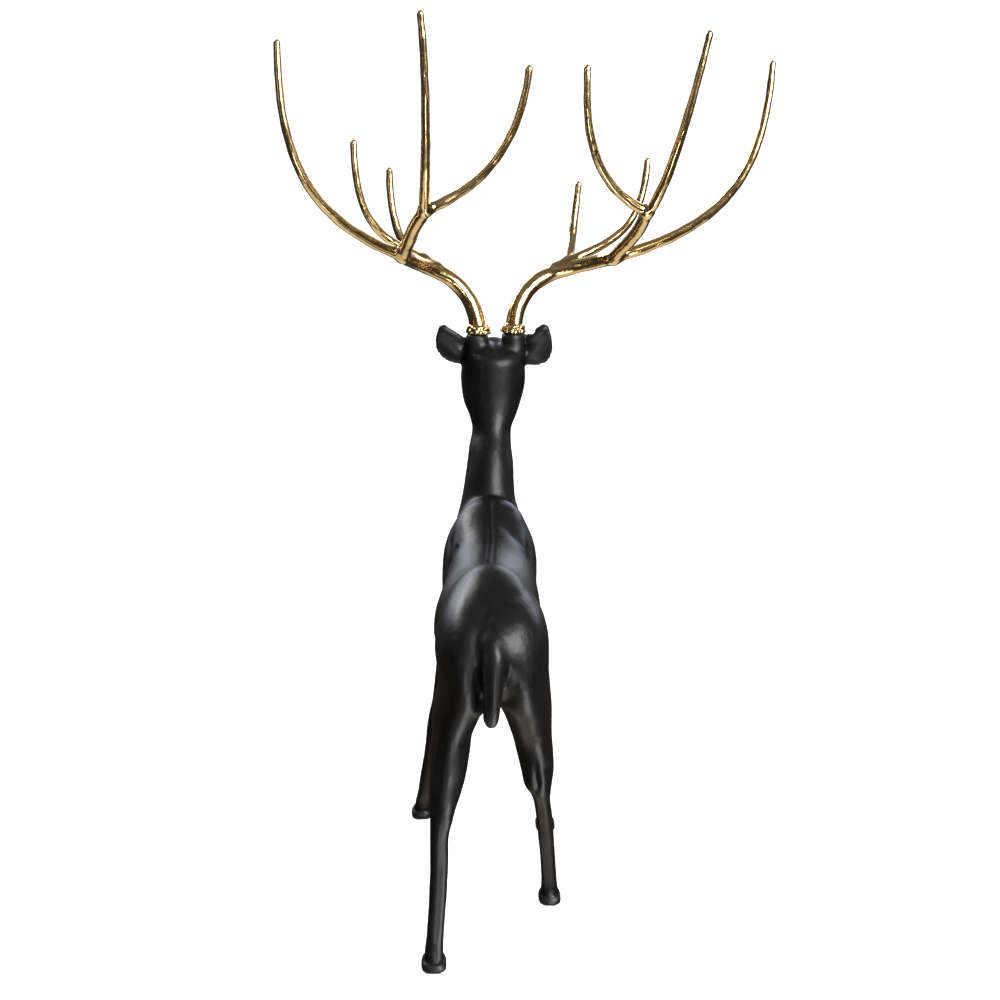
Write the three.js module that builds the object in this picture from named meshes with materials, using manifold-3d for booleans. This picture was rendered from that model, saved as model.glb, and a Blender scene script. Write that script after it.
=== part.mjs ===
// A walking stag with tall branching antlers, seen whole: one black casting for
// the figure and one gilt casting for each antler, standing on a stump of its own.
// Millimetres, +Z up. The stag faces -Y and its left side is +X.
import * as THREE from 'three';
import { mergeVertices } from 'three/addons/utils/BufferGeometryUtils.js';
import Module from 'manifold-3d';

const wasm = await Module();
wasm.setup();

// Driving sizes
const pollHeight = 738;
const antlerRise = 448;
const beamDiameter = 25;
const forkDiameter = 20;
const branchDiameter = 18;
const outerDiameter = 17;
const tineDiameter = 15;
const tipDiameter = 9.5;
const burrDiameter = 37;
const burrHeight = 13.5;
const burrBeads = 12;
const beadRelief = 1.6;
const stumpDiameter = 33;
const stumpDepth = 34;
const antlerGap = 0.3;

// The figure is free form: every place on it is a share of its height, and the
// tables below are drawn for a stag whose poll stands 738 above its soles.
const drawnPollHeight = 738;
const figure = pollHeight / drawnPollHeight;
// The antlers' bends are shares of their rise, drawn for a rise of 448.
const drawnAntlerRise = 448;
const antlerShare = antlerRise / drawnAntlerRise;

// How finely each casting is faceted
const trunkSides = 28;
const headSides = 18;
const neckSides = 16;
const legSides = 12;
const tailSides = 10;
const earSides = 10;
const beamSides = 10;
const tineSides = 8;

// Colours
const blackPaint = new THREE.MeshStandardMaterial({ color: 0x17181a, roughness: 0.42, metalness: 0.25 });
const giltMetal = new THREE.MeshStandardMaterial({ color: 0xc89a4b, roughness: 0.22, metalness: 1.0 });

// Columns of a station: the place along the stack, the middle in X, the half
// width in X, then low, wide and high across it. On a stack along Y these are the
// underside, the height of the greatest width and the top. On a stack along Z
// they are the front, the Y of the greatest width and the back.
const trunkStations = [
  [-276, -8, 10, 396, 420, 440],
  [-266, -8, 26, 372, 418, 464],
  [-240, -8, 40, 338, 412, 484],
  [-205, -8, 56, 312, 412, 505],
  [-170, -8, 65, 300, 415, 516.5],
  [-125, -7, 66.5, 302, 400, 500],
  [-75, -6.5, 69, 309, 385, 480],
  [-20, -2, 74, 322, 378, 471],
  [25, 0, 74.5, 331, 380, 473],
  [60, 0, 71, 338, 385, 482],
  [92, -0.5, 68, 337, 392, 493],
  [122, -1.5, 67, 333, 396, 496],
  [155, -2, 67, 331, 396, 485],
  [188, -1, 62, 340, 395, 466],
  [214, 1, 50, 352, 395, 444],
  [230, 2, 28, 368, 398, 424],
];

const neckStations = [
  [430, -6, 46, -268, -205, -152],
  [470, -8, 48, -276, -214, -168],
  [500, -8, 40, -284, -226, -184],
  [520, -9, 37.2, -290, -236, -193],
  [551, -11.5, 34.2, -302, -254, -208],
  [575, -12, 31.2, -312, -267, -223],
  [598, -14.5, 29, -324, -280, -240],
  [618, -16.2, 35.5, -338, -290, -248],
  [636, -15.8, 42, -346, -296, -251],
  [660, -16.6, 45.4, -350, -300, -253],
  [692, -17.8, 45.4, -346, -300, -254],
  [704, -18.6, 43, -340, -300, -257],
  [711, -19, 38, -332, -300, -268],
];

const headStations = [
  [-499, -19.5, 9, 623, 631, 640],
  [-491, -19.5, 17, 614, 631, 649],
  [-472, -19.5, 21, 609, 631, 657],
  [-442, -19.5, 21.5, 612, 635, 667],
  [-412, -19.5, 26, 611, 646, 684],
  [-386, -19, 33, 607, 656, 704],
  [-360, -19, 41, 603, 664, 717],
  [-334, -18.5, 45, 603, 669, 727],
  [-305, -18, 45.6, 612, 675, 720.5],
  [-282, -18, 40, 622, 676, 712],
  [-268, -18, 26, 645, 676, 700],
];

const tailStations = [
  [448, 2, 10, 196, 205, 216],
  [432, 1.5, 13, 208, 222, 236],
  [415, 1, 15, 214, 232, 246],
  [395, 0, 15, 220, 237, 250],
  [375, -0.2, 13.8, 224, 240, 252],
  [355, 1, 11.6, 228, 241.5, 252.5],
  [338, 2, 10, 231, 243, 252],
  [329, 2.2, 8.8, 234, 243.5, 250.5],
  [323, 2.2, 6, 238, 243.5, 248.5],
];

// The hind legs stride: the left one trails, the right one is set forward.
const hindLeftStations = [
  [462, 30, 16, 110, 150, 190],
  [440, 33, 28, 72, 148, 218],
  [408, 36, 35, 50, 150, 238],
  [372, 35.5, 34.3, 50, 150, 242],
  [345, 36, 33.8, 62, 154, 238],
  [322, 42.5, 33, 78, 158, 231],
  [302, 48, 29.5, 96, 163, 226],
  [288, 51, 26.2, 114, 169, 225],
  [268, 54, 25.7, 138, 183, 227],
  [252, 56, 24.6, 155, 196, 231],
  [236, 58.6, 23, 173, 208, 237],
  [219, 61.6, 19.8, 189, 218, 242],
  [205, 64.4, 17.2, 201, 224, 244],
  [189, 66.4, 14.6, 211, 229, 245],
  [168, 69, 12.2, 219, 233, 247],
  [123, 70, 11.7, 227, 241, 254],
  [76, 72.7, 11.3, 238, 251, 264],
  [48, 75, 11.2, 245, 258, 271],
  [28, 76.8, 11.8, 248, 261, 274],
  [14, 77.2, 12.8, 245, 262, 276],
  [11, 77.2, 15.4, 237, 262, 280],
  [5, 77.3, 16.3, 230, 262, 284],
  [0, 77.3, 15.6, 229, 262, 283],
];

const hindRightStations = [
  [462, -28, 16, 105, 145, 185],
  [444, -33, 30, 66, 142, 214],
  [418, -36.5, 36, 45, 142, 230],
  [393, -37.5, 37, 34, 140, 234],
  [362, -39, 37.6, 30, 136, 230],
  [330, -42.5, 37.3, 38, 130, 218],
  [303, -49, 32.6, 52, 126, 200],
  [272, -54.6, 27.2, 72, 126, 180],
  [247, -58.8, 24.6, 92, 134, 174],
  [224, -61.8, 21.8, 112, 144, 174],
  [206, -62.4, 18.4, 126, 149, 174],
  [195, -65.4, 14.1, 130, 149, 171],
  [181, -67.8, 11.6, 128, 144, 164],
  [150, -72.4, 10.8, 118, 132, 150],
  [117, -75.1, 10.8, 104, 118, 134],
  [82, -78.8, 10.4, 87, 101, 115],
  [46, -81.6, 10.6, 70, 84, 98],
  [26, -83, 11.4, 64, 77, 90],
  [14, -83.5, 12.4, 57, 74, 89],
  [11, -83.8, 14.4, 50, 73, 91],
  [5, -83.8, 15.4, 42, 73, 94],
  [0, -83.8, 14.8, 41, 73, 93],
];

const foreLeftStations = [
  [492, 22, 8, -188, -162, -136],
  [465, 31, 16.5, -208, -164, -120],
  [435, 34, 22, -226, -167, -110],
  [400, 34, 24.5, -238, -171, -106],
  [350, 38, 26, -232, -174, -110],
  [318, 45, 23, -220, -175, -124],
  [290, 50, 19.5, -208, -176, -140],
  [255, 56, 16.3, -202, -177, -150],
  [211, 63, 13.8, -198, -178, -158],
  [185, 68, 14, -200, -181, -162],
  [160, 72.6, 13.8, -203, -185, -166],
  [140, 76, 11.9, -204, -189, -173],
  [110, 80.8, 10.9, -208, -195, -182],
  [75, 86.3, 10.7, -216, -203, -190],
  [46, 90.2, 10.9, -225, -212, -198],
  [28, 92.8, 11.8, -234, -220, -206],
  [14, 94.3, 12.8, -243, -225, -210],
  [11, 94.8, 15, -251, -226, -208],
  [5, 95.4, 15.7, -258, -227, -207],
  [0, 95.4, 15, -259, -227, -208],
];

const foreRightStations = [
  [492, -34, 10, -188, -162, -136],
  [465, -44, 19.5, -208, -164, -118],
  [435, -47, 24.5, -228, -167, -106],
  [400, -47, 24.5, -240, -171, -104],
  [350, -48.5, 25, -232, -172, -108],
  [318, -51, 23.5, -218, -172, -120],
  [290, -54, 20, -202, -168, -132],
  [255, -59, 16.5, -192, -166, -140],
  [211, -65.5, 14, -186, -165, -145],
  [185, -70, 14.2, -187, -167, -148],
  [160, -74, 14, -188, -169, -150],
  [140, -77, 12, -187, -171, -155],
  [110, -80.5, 11, -189, -176, -163],
  [75, -84.5, 10.8, -191, -178, -165],
  [46, -88, 11, -193, -180, -166],
  [28, -90, 11.6, -191, -177, -163],
  [14, -91, 12.2, -194, -175, -159],
  [11, -91.6, 14, -200, -175, -157],
  [5, -91.8, 14.6, -206, -175, -154],
  [0, -91.8, 14, -207, -175, -155],
];

// The furrow along the spine, deepest over the croup, drawn at the top of the trunk
const furrowDepth = 7;
const furrowHalfWidth = 13;
const furrowFront = -190;
const furrowDeepest = 110;

// Each stack, with how many rings are worked out between its stations
const stacks = [
  { along: 'y', stations: trunkStations, rings: 24, sides: trunkSides, furrow: true },
  { along: 'z', stations: neckStations, rings: 17, sides: neckSides },
  { along: 'y', stations: headStations, rings: 15, sides: headSides },
  { along: 'z', stations: tailStations, rings: 9, sides: tailSides },
  { along: 'z', stations: hindLeftStations, rings: 23, sides: legSides },
  { along: 'z', stations: hindRightStations, rings: 22, sides: legSides },
  { along: 'z', stations: foreLeftStations, rings: 19, sides: legSides },
  { along: 'z', stations: foreRightStations, rings: 19, sides: legSides },
];

// Ears: a cupped leaf that leaves the side of the head and turns up to its tip.
// Their places are out from the middle of the head.
const earRoot = [36, -298, 704];
const earBend = [66, -296, 705];
const earTip = [76.5, -294, 749];
const earHalfWidths = [11, 14, 17.5, 21, 22.5, 21, 15.5, 6];
const earThickness = 7;
// Shares of the half width on the lower and on the upper side of each ear's leaf
const leftEarShares = [[1, 1, 1, 0.98, 0.96, 0.93, 0.9, 0.9], [0.7, 0.8, 0.9, 1, 1, 1, 1, 1]];
const rightEarShares = [[1, 1.18, 1.32, 1.34, 1.2, 1, 0.86, 0.8], [0.45, 0.5, 0.66, 0.86, 1, 1, 1, 1]];
const earCup = 7;
const headMiddle = -18.5;

// Eyes: a round ball set into each side of the head, its place out from the middle
const eyePlace = [33, -372, 682];
const eyeRadius = 10.5;
const eyeSides = 10;
const eyeRows = 7;

// Antlers: where each burr stands, how its antler is turned, its size, and how much
// higher each of its five tips ends than the drawn one, from the outer tine inwards
const antlerPlaces = [
  {
    name: 'antler_left', side: 1, base: [5.1, -300, 737], yaw: 16.7, tilt: -1.1, roll: -3,
    size: 1.0125, tipLifts: [0, 2, -3, 0, 0],
  },
  {
    name: 'antler_right', side: -1, base: [-47, -300, 738], yaw: 16.7, tilt: 1.1, roll: -3,
    size: 0.9875, tipLifts: [9, -4, 0, -8, -7],
  },
];

// Control points of each branch: outward, back and up from the burr
const beamSeat = 3;
const node = [134.6, 51.9, 119.6];
const fork = [138.5, 160.6, 194.7];
const antlerBranches = [
  { bends: [[0, 0, beamSeat], [8.6, -10.3, 92.8], [82, -39.6, 88.9], node],
    from: beamDiameter, to: forkDiameter, sides: beamSides, steps: 10 },
  { bends: [node, [296.3, 118, 175.6], [333.9, 130.3, 262.2], [338.8, 125.3, 402.9]],
    from: outerDiameter, to: tipDiameter, sides: tineSides, steps: 13, tip: true },
  { bends: [node, [143.2, 124.8, 165], [143.2, 124.8, 165], fork],
    from: forkDiameter, to: branchDiameter, sides: beamSides, steps: 5 },
  { bends: [fork, [150.5, 188.5, 217.4], [159.2, 234.2, 316.5], [181, 242.4, 448]],
    from: tineDiameter, to: tipDiameter, sides: tineSides, steps: 9, tip: true },
  { bends: [fork, [42.7, 168.7, 233.1], [20.6, 202.6, 312.9], [18.1, 206.3, 391]],
    from: tineDiameter, to: tipDiameter, sides: tineSides, steps: 10, tip: true },
  { bends: [[63.7, -10.8, 97.1], [151.8, -7.4, 136.9], [194.7, 13.7, 151.4], [200.5, 6.6, 270.6]],
    from: tineDiameter, to: tipDiameter, sides: tineSides, steps: 10, tip: true },
  { bends: [[84, -10, 107], [109.3, -59.2, 103.9], [120.7, -79.9, 171.7], [123.4, -77.2, 227.4]],
    from: tineDiameter, to: tipDiameter, sides: tineSides, steps: 8, tip: true },
];

// One closed body from rings of equal count, with a fan over each end
function loft(rings) {
  const sides = rings[0].length;
  const places = [];
  for (const ring of rings) {
    for (const point of ring) {
      places.push(point.x, point.y, point.z);
    }
  }
  const faces = [];
  for (let row = 0; row + 1 < rings.length; row += 1) {
    for (let side = 0; side < sides; side += 1) {
      const next = (side + 1) % sides;
      const a = row * sides + side;
      const b = row * sides + next;
      const c = a + sides;
      const d = b + sides;
      faces.push(a, b, d, a, d, c);
    }
  }
  for (const end of [0, rings.length - 1]) {
    const middle = new THREE.Vector3();
    for (const point of rings[end]) {
      middle.addScaledVector(point, 1 / sides);
    }
    const centre = places.length / 3;
    places.push(middle.x, middle.y, middle.z);
    for (let side = 0; side < sides; side += 1) {
      const a = end * sides + side;
      const b = end * sides + (side + 1) % sides;
      if (end === 0) {
        faces.push(centre, b, a);
      } else {
        faces.push(centre, a, b);
      }
    }
  }
  const body = new wasm.Manifold(new wasm.Mesh({
    numProp: 3,
    vertProperties: new Float32Array(places),
    triVerts: new Uint32Array(faces),
  }));
  return body.volume() > 0 ? body : loft([...rings].reverse());
}

// A smooth curve through the stations, column by column
function smoothStations(stations, count) {
  const rows = [];
  for (let ring = 0; ring < count; ring += 1) {
    const place = ring / (count - 1) * (stations.length - 1);
    const row = Math.min(Math.floor(place), stations.length - 2);
    const part = place - row;
    const values = stations[row].map((value, column) => {
      const here = value;
      const next = stations[row + 1][column];
      const before = row > 0 ? stations[row - 1][column] : 2 * here - next;
      const after = row + 2 < stations.length ? stations[row + 2][column] : 2 * next - here;
      const leave = (next - before) / 2;
      const arrive = (after - here) / 2;
      const bend = 2 * (here - next) + leave + arrive;
      const swing = 3 * (next - here) - 2 * leave - arrive;
      return here + part * (leave + part * (swing + part * bend));
    });
    rows.push(values);
  }
  return rows;
}

// How far the spine's furrow sinks, that far along the trunk and out from its middle
function furrowAt(at, out) {
  const along = THREE.MathUtils.smoothstep(at, furrowFront, furrowDeepest);
  return furrowDepth * (0.5 + 0.5 * along) * Math.exp(-((out / furrowHalfWidth) ** 2));
}

// One body stacked along Y or along Z from its stations
function stackBody({ along, stations, rings, sides, furrow }) {
  const loops = smoothStations(stations, rings).map(([at, middle, half, low, wide, high]) => {
    const loop = [];
    for (let side = 0; side < sides; side += 1) {
      const angle = side / sides * 2 * Math.PI;
      const across = middle + half * Math.cos(angle);
      const reach = Math.sin(angle) > 0 ? high - wide : wide - low;
      const sink = furrow && Math.sin(angle) > 0 ? furrowAt(at, across - middle) : 0;
      const other = wide + reach * Math.sin(angle) - sink;
      const point = along === 'y' ? new THREE.Vector3(across, at, other) : new THREE.Vector3(across, other, at);
      loop.push(point.multiplyScalar(figure));
    }
    return loop;
  });
  return loft(loops);
}

// An ear: flat ovals carried along a bend, hollowed on the side that faces forward
function earBody(side) {
  const [lowerShares, upperShares] = side > 0 ? leftEarShares : rightEarShares;
  const placed = ([out, back, up]) => new THREE.Vector3(headMiddle + side * out, back, up);
  const path = new THREE.QuadraticBezierCurve3(placed(earRoot), placed(earBend), placed(earTip));
  const loops = earHalfWidths.map((halfWidth, ring) => {
    const part = ring / (earHalfWidths.length - 1);
    const middle = path.getPoint(part);
    const forward = path.getTangent(part);
    const through = new THREE.Vector3(0, 1, 0);
    const across = new THREE.Vector3().crossVectors(forward, through).normalize();
    const loop = [];
    for (let step = 0; step < earSides; step += 1) {
      const angle = step / earSides * 2 * Math.PI;
      const shift = Math.cos(angle);
      const hollow = -earCup * shift * shift * Math.sin(Math.PI * Math.min(1, part + 0.2));
      const point = middle.clone();
      const share = shift * side < 0 ? lowerShares[ring] : upperShares[ring];
      const reach = halfWidth * share;
      point.addScaledVector(across, reach * shift);
      point.addScaledVector(through, hollow + earThickness / 2 * Math.sin(angle));
      loop.push(point.multiplyScalar(figure));
    }
    return loop;
  });
  return loft(loops);
}

// An eye: a ball that stands a little out of the side of the head
function eyeBody(side) {
  const [out, back, up] = eyePlace;
  const ball = new THREE.SphereGeometry(eyeRadius * figure, eyeSides, eyeRows);
  ball.translate((headMiddle + side * out) * figure, back * figure, up * figure);
  ball.deleteAttribute('normal');
  ball.deleteAttribute('uv');
  const merged = mergeVertices(ball);
  return new wasm.Manifold(new wasm.Mesh({
    numProp: 3,
    vertProperties: merged.attributes.position.array,
    triVerts: new Uint32Array(merged.index.array),
  }));
}

// A round branch along a curve, thinning from its root to its end
function branchBody(bends, startDiameter, endDiameter, rounded, sides, steps) {
  const curve = new THREE.CubicBezierCurve3(...bends);
  const frames = curve.computeFrenetFrames(steps, false);
  const loops = [];
  const ringAt = (middle, normal, binormal, radius) => {
    const loop = [];
    for (let side = 0; side < sides; side += 1) {
      const angle = side / sides * 2 * Math.PI;
      const point = middle.clone();
      point.addScaledVector(normal, radius * Math.cos(angle));
      point.addScaledVector(binormal, radius * Math.sin(angle));
      loop.push(point);
    }
    return loop;
  };
  for (let step = 0; step <= steps; step += 1) {
    const part = step / steps;
    const radius = THREE.MathUtils.lerp(startDiameter, endDiameter, part) / 2;
    loops.push(ringAt(curve.getPointAt(part), frames.normals[step], frames.binormals[step], radius));
  }
  if (rounded) {
    const tipRadius = endDiameter / 2;
    for (const lift of [0.6, 0.95]) {
      const middle = curve.getPointAt(1).addScaledVector(frames.tangents[steps], lift * tipRadius);
      const radius = tipRadius * Math.sqrt(1 - lift * lift);
      loops.push(ringAt(middle, frames.normals[steps], frames.binormals[steps], radius));
    }
  }
  return loft(loops);
}

// Where an antler stands: its burr's underside, and the turn of the whole antler
function antlerPose({ base, yaw, tilt, roll }) {
  const turn = new THREE.Euler(
    THREE.MathUtils.degToRad(tilt),
    THREE.MathUtils.degToRad(roll),
    THREE.MathUtils.degToRad(yaw),
    'ZXY',
  );
  const place = new THREE.Vector3(...base).multiplyScalar(figure);
  return new THREE.Matrix4().compose(place, new THREE.Quaternion().setFromEuler(turn), new THREE.Vector3(1, 1, 1));
}

// A stack of rings about an upright axis: pairs of radius and height, with beads
function turnedBody(profile, sides, pose, relief) {
  const loops = profile.map(([radius, height]) => {
    const loop = [];
    for (let side = 0; side < sides; side += 1) {
      const angle = side / sides * 2 * Math.PI;
      const swell = relief * Math.cos(angle * burrBeads);
      const reach = radius + swell;
      loop.push(new THREE.Vector3(reach * Math.cos(angle), reach * Math.sin(angle), height).applyMatrix4(pose));
    }
    return loop;
  });
  return loft(loops);
}

// The black stump that carries an antler, its flat top square to the antler
function stumpBody(place) {
  const radius = stumpDiameter / 2;
  const profile = [
    [radius + 3, -stumpDepth],
    [radius + 1, -stumpDepth / 3],
    [radius, -antlerGap],
  ];
  return turnedBody(profile, neckSides, antlerPose(place), 0);
}

// One antler: the beaded burr, the beam and its branches joined into one casting
function antlerBody(place) {
  const pose = antlerPose(place);
  const scale = place.size * antlerShare;
  const radius = burrDiameter / 2;
  let body = turnedBody([
    [radius - 5, 0],
    [radius - beadRelief, burrHeight * 0.2],
    [radius, burrHeight * 0.5],
    [radius - beadRelief, burrHeight * 0.8],
    [radius - 5, burrHeight],
  ], burrBeads * 2, pose, beadRelief);
  const lifts = [...place.tipLifts];
  for (const { bends, from, to, sides, steps, tip } of antlerBranches) {
    const lift = tip ? lifts.shift() : 0;
    const points = bends.map(([out, back, up], bend) => {
      const raised = bend === bends.length - 1 ? up + lift : up;
      return new THREE.Vector3(out * place.side * scale, back * scale, raised * scale).applyMatrix4(pose);
    });
    body = body.add(branchBody(points, from, to, Boolean(tip), sides, steps));
  }
  return body;
}

function meshOf(name, body, material) {
  const data = body.getMesh();
  const geometry = new THREE.BufferGeometry();
  geometry.setAttribute('position', new THREE.BufferAttribute(Float32Array.from(data.vertProperties), 3));
  geometry.setIndex(new THREE.BufferAttribute(Uint32Array.from(data.triVerts), 1));
  geometry.computeVertexNormals();
  const mesh = new THREE.Mesh(geometry, material);
  mesh.name = name;
  return mesh;
}

const deer = new THREE.Group();

let figureBody = stackBody(stacks[0]);
for (const stack of stacks.slice(1)) {
  figureBody = figureBody.add(stackBody(stack));
}
for (const place of antlerPlaces) {
  figureBody = figureBody.add(earBody(place.side));
  figureBody = figureBody.add(eyeBody(place.side));
  figureBody = figureBody.add(stumpBody(place));
}
deer.add(meshOf('body', figureBody, blackPaint));
for (const place of antlerPlaces) {
  deer.add(meshOf(place.name, antlerBody(place), giltMetal));
}

// The origin is the middle of the whole stag, on the ground
const bounds = new THREE.Box3().setFromObject(deer);
const middle = bounds.getCenter(new THREE.Vector3());
deer.position.set(-middle.x, -middle.y, -bounds.min.z);
deer.updateMatrixWorld(true);

export default deer;
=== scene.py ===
"""A walking stag: one black casting for the figure and one gilt casting for each antler.

Each casting starts as plain closed shells, which are joined into one even skin. Every
point of the skin is then drawn onto a field, a function that says how far a place lies
outside the wanted form. The field holds the smooth joins between the forms, the muscles
and the carving. Lengths in the tables are millimetres in the stag's own axes: X to its
left, Y to its rear, Z up, with the soles at 0.
"""
import bpy
import numpy as np
from bpy.props import FloatProperty, FloatVectorProperty, PointerProperty
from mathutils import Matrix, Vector


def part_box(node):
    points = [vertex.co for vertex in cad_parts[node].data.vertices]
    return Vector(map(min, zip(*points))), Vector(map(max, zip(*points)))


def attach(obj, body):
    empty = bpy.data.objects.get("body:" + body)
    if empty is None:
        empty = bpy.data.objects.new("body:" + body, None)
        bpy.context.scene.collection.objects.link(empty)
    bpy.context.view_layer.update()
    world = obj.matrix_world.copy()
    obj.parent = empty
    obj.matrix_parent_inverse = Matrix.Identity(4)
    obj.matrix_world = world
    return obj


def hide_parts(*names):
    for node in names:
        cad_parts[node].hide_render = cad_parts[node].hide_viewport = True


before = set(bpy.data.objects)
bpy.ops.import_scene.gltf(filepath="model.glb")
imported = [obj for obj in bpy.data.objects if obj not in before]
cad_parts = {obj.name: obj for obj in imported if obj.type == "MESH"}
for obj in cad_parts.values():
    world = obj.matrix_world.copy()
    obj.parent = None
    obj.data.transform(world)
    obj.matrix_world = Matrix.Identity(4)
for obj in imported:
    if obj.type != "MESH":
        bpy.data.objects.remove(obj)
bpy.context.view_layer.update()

bl_info = {
    "name": "Walking stag",
    "version": (1, 0, 0),
    "blender": (4, 5, 0),
    "location": "View3D > Sidebar > Stag",
    "description": "Makes a cast standing stag with gilt antlers, and a plain stage for it",
    "category": "Add Mesh",
}

MILLIMETRE = 0.001

# Where the stag's own axes lie in the frame: its left fore hoof reaches furthest to
# the left, and its nose reaches furthest to the front.
LEFT_HOOF_REACH = 111.1
NOSE_REACH = 499.0

# The poll height that the tables are drawn for
DRAWN_POLL = 738.0
DRAWN_RISE = 448.0

# Columns of a station: the place along the stack, the middle in X, the half width in X,
# then low, wide and high across it. Along Y these are heights, along Z they are places
# in Y: the front, the widest place and the back.
TRUNK = (
    (-276, -8, 10, 396, 420, 440),
    (-266, -8, 26, 372, 418, 464),
    (-240, -8, 40, 338, 412, 484),
    (-205, -8, 56, 312, 412, 505),
    (-170, -8, 65, 300, 415, 516.5),
    (-125, -7, 66.5, 302, 400, 500),
    (-75, -6.5, 69, 309, 385, 480),
    (-20, -2, 74, 322, 378, 471),
    (25, 0, 74.5, 331, 380, 473),
    (60, 0, 71, 338, 385, 482),
    (92, -0.5, 68, 337, 392, 493),
    (122, -1.5, 67, 333, 396, 496),
    (155, -2, 67, 331, 396, 485),
    (188, -1, 62, 340, 395, 466),
    (214, 1, 50, 352, 395, 444),
    (230, 2, 28, 368, 398, 424),
)
NECK = (
    (430, -6, 46, -268, -205, -152),
    (470, -8, 48, -276, -214, -168),
    (500, -8, 40, -284, -226, -184),
    (520, -9, 37.2, -290, -236, -193),
    (551, -11.5, 34.2, -302, -254, -208),
    (575, -12, 31.2, -312, -267, -223),
    (598, -14.5, 29, -324, -280, -240),
    (618, -16.2, 35.5, -338, -290, -248),
    (636, -15.8, 42, -346, -296, -251),
    (660, -16.6, 45.4, -350, -300, -253),
    (692, -17.8, 45.4, -346, -300, -254),
    (704, -18.6, 43, -340, -300, -257),
    (711, -19, 38, -332, -300, -268),
)
HEAD = (
    (-499, -19.5, 9, 623, 631, 640),
    (-491, -19.5, 17, 614, 631, 649),
    (-472, -19.5, 21, 609, 631, 657),
    (-442, -19.5, 21.5, 612, 635, 667),
    (-412, -19.5, 26, 611, 646, 684),
    (-386, -19, 33, 607, 656, 704),
    (-360, -19, 41, 603, 664, 717),
    (-334, -18.5, 45, 603, 669, 727),
    (-305, -18, 45.6, 612, 675, 720.5),
    (-282, -18, 40, 622, 676, 712),
    (-268, -18, 26, 645, 676, 700),
)
TAIL = (
    (448, 2, 10, 196, 205, 216),
    (432, 1.5, 13, 208, 222, 236),
    (415, 1, 15, 214, 232, 246),
    (395, 0, 15, 220, 237, 250),
    (375, -0.2, 13.8, 224, 240, 252),
    (355, 1, 11.6, 228, 241.5, 252.5),
    (338, 2, 10, 231, 243, 252),
    (329, 2.2, 8.8, 234, 243.5, 250.5),
    (323, 2.2, 6, 238, 243.5, 248.5),
)
HIND_LEFT = (
    (462, 30, 16, 110, 150, 190),
    (440, 33, 28, 72, 148, 218),
    (408, 36, 35, 50, 150, 238),
    (372, 35.5, 34.3, 50, 150, 242),
    (345, 36, 33.8, 62, 154, 238),
    (322, 42.5, 33, 78, 158, 231),
    (302, 48, 29.5, 96, 163, 226),
    (288, 51, 26.2, 114, 169, 225),
    (268, 54, 25.7, 138, 183, 227),
    (252, 56, 24.6, 155, 196, 231),
    (236, 58.6, 23, 173, 208, 237),
    (219, 61.6, 19.8, 189, 218, 242),
    (205, 64.4, 17.2, 201, 224, 244),
    (189, 66.4, 14.6, 211, 229, 245),
    (168, 69, 12.2, 219, 233, 247),
    (123, 70, 11.7, 227, 241, 254),
    (76, 72.7, 11.3, 238, 251, 264),
    (48, 75, 11.2, 245, 258, 271),
    (28, 76.8, 11.8, 248, 261, 274),
    (14, 77.2, 12.8, 245, 262, 276),
    (11, 77.2, 15.4, 237, 262, 280),
    (5, 77.3, 16.3, 230, 262, 284),
    (0, 77.3, 15.6, 229, 262, 283),
)
HIND_RIGHT = (
    (462, -28, 16, 105, 145, 185),
    (444, -33, 30, 66, 142, 214),
    (418, -36.5, 36, 45, 142, 230),
    (393, -37.5, 37, 34, 140, 234),
    (362, -39, 37.6, 30, 136, 230),
    (330, -42.5, 37.3, 38, 130, 218),
    (303, -49, 32.6, 52, 126, 200),
    (272, -54.6, 27.2, 72, 126, 180),
    (247, -58.8, 24.6, 92, 134, 174),
    (224, -61.8, 21.8, 112, 144, 174),
    (206, -62.4, 18.4, 126, 149, 174),
    (195, -65.4, 14.1, 130, 149, 171),
    (181, -67.8, 11.6, 128, 144, 164),
    (150, -72.4, 10.8, 118, 132, 150),
    (117, -75.1, 10.8, 104, 118, 134),
    (82, -78.8, 10.4, 87, 101, 115),
    (46, -81.6, 10.6, 70, 84, 98),
    (26, -83, 11.4, 64, 77, 90),
    (14, -83.5, 12.4, 57, 74, 89),
    (11, -83.8, 14.4, 50, 73, 91),
    (5, -83.8, 15.4, 42, 73, 94),
    (0, -83.8, 14.8, 41, 73, 93),
)
FORE_LEFT = (
    (492, 22, 8, -188, -162, -136),
    (465, 31, 16.5, -208, -164, -120),
    (435, 34, 22, -226, -167, -110),
    (400, 34, 24.5, -238, -171, -106),
    (350, 38, 26, -232, -174, -110),
    (318, 45, 23, -220, -175, -124),
    (290, 50, 19.5, -208, -176, -140),
    (255, 56, 16.3, -202, -177, -150),
    (211, 63, 13.8, -198, -178, -158),
    (185, 68, 14, -200, -181, -162),
    (160, 72.6, 13.8, -203, -185, -166),
    (140, 76, 11.9, -204, -189, -173),
    (110, 80.8, 10.9, -208, -195, -182),
    (75, 86.3, 10.7, -216, -203, -190),
    (46, 90.2, 10.9, -225, -212, -198),
    (28, 92.8, 11.8, -234, -220, -206),
    (14, 94.3, 12.8, -243, -225, -210),
    (11, 94.8, 15, -251, -226, -208),
    (5, 95.4, 15.7, -258, -227, -207),
    (0, 95.4, 15, -259, -227, -208),
)
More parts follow.
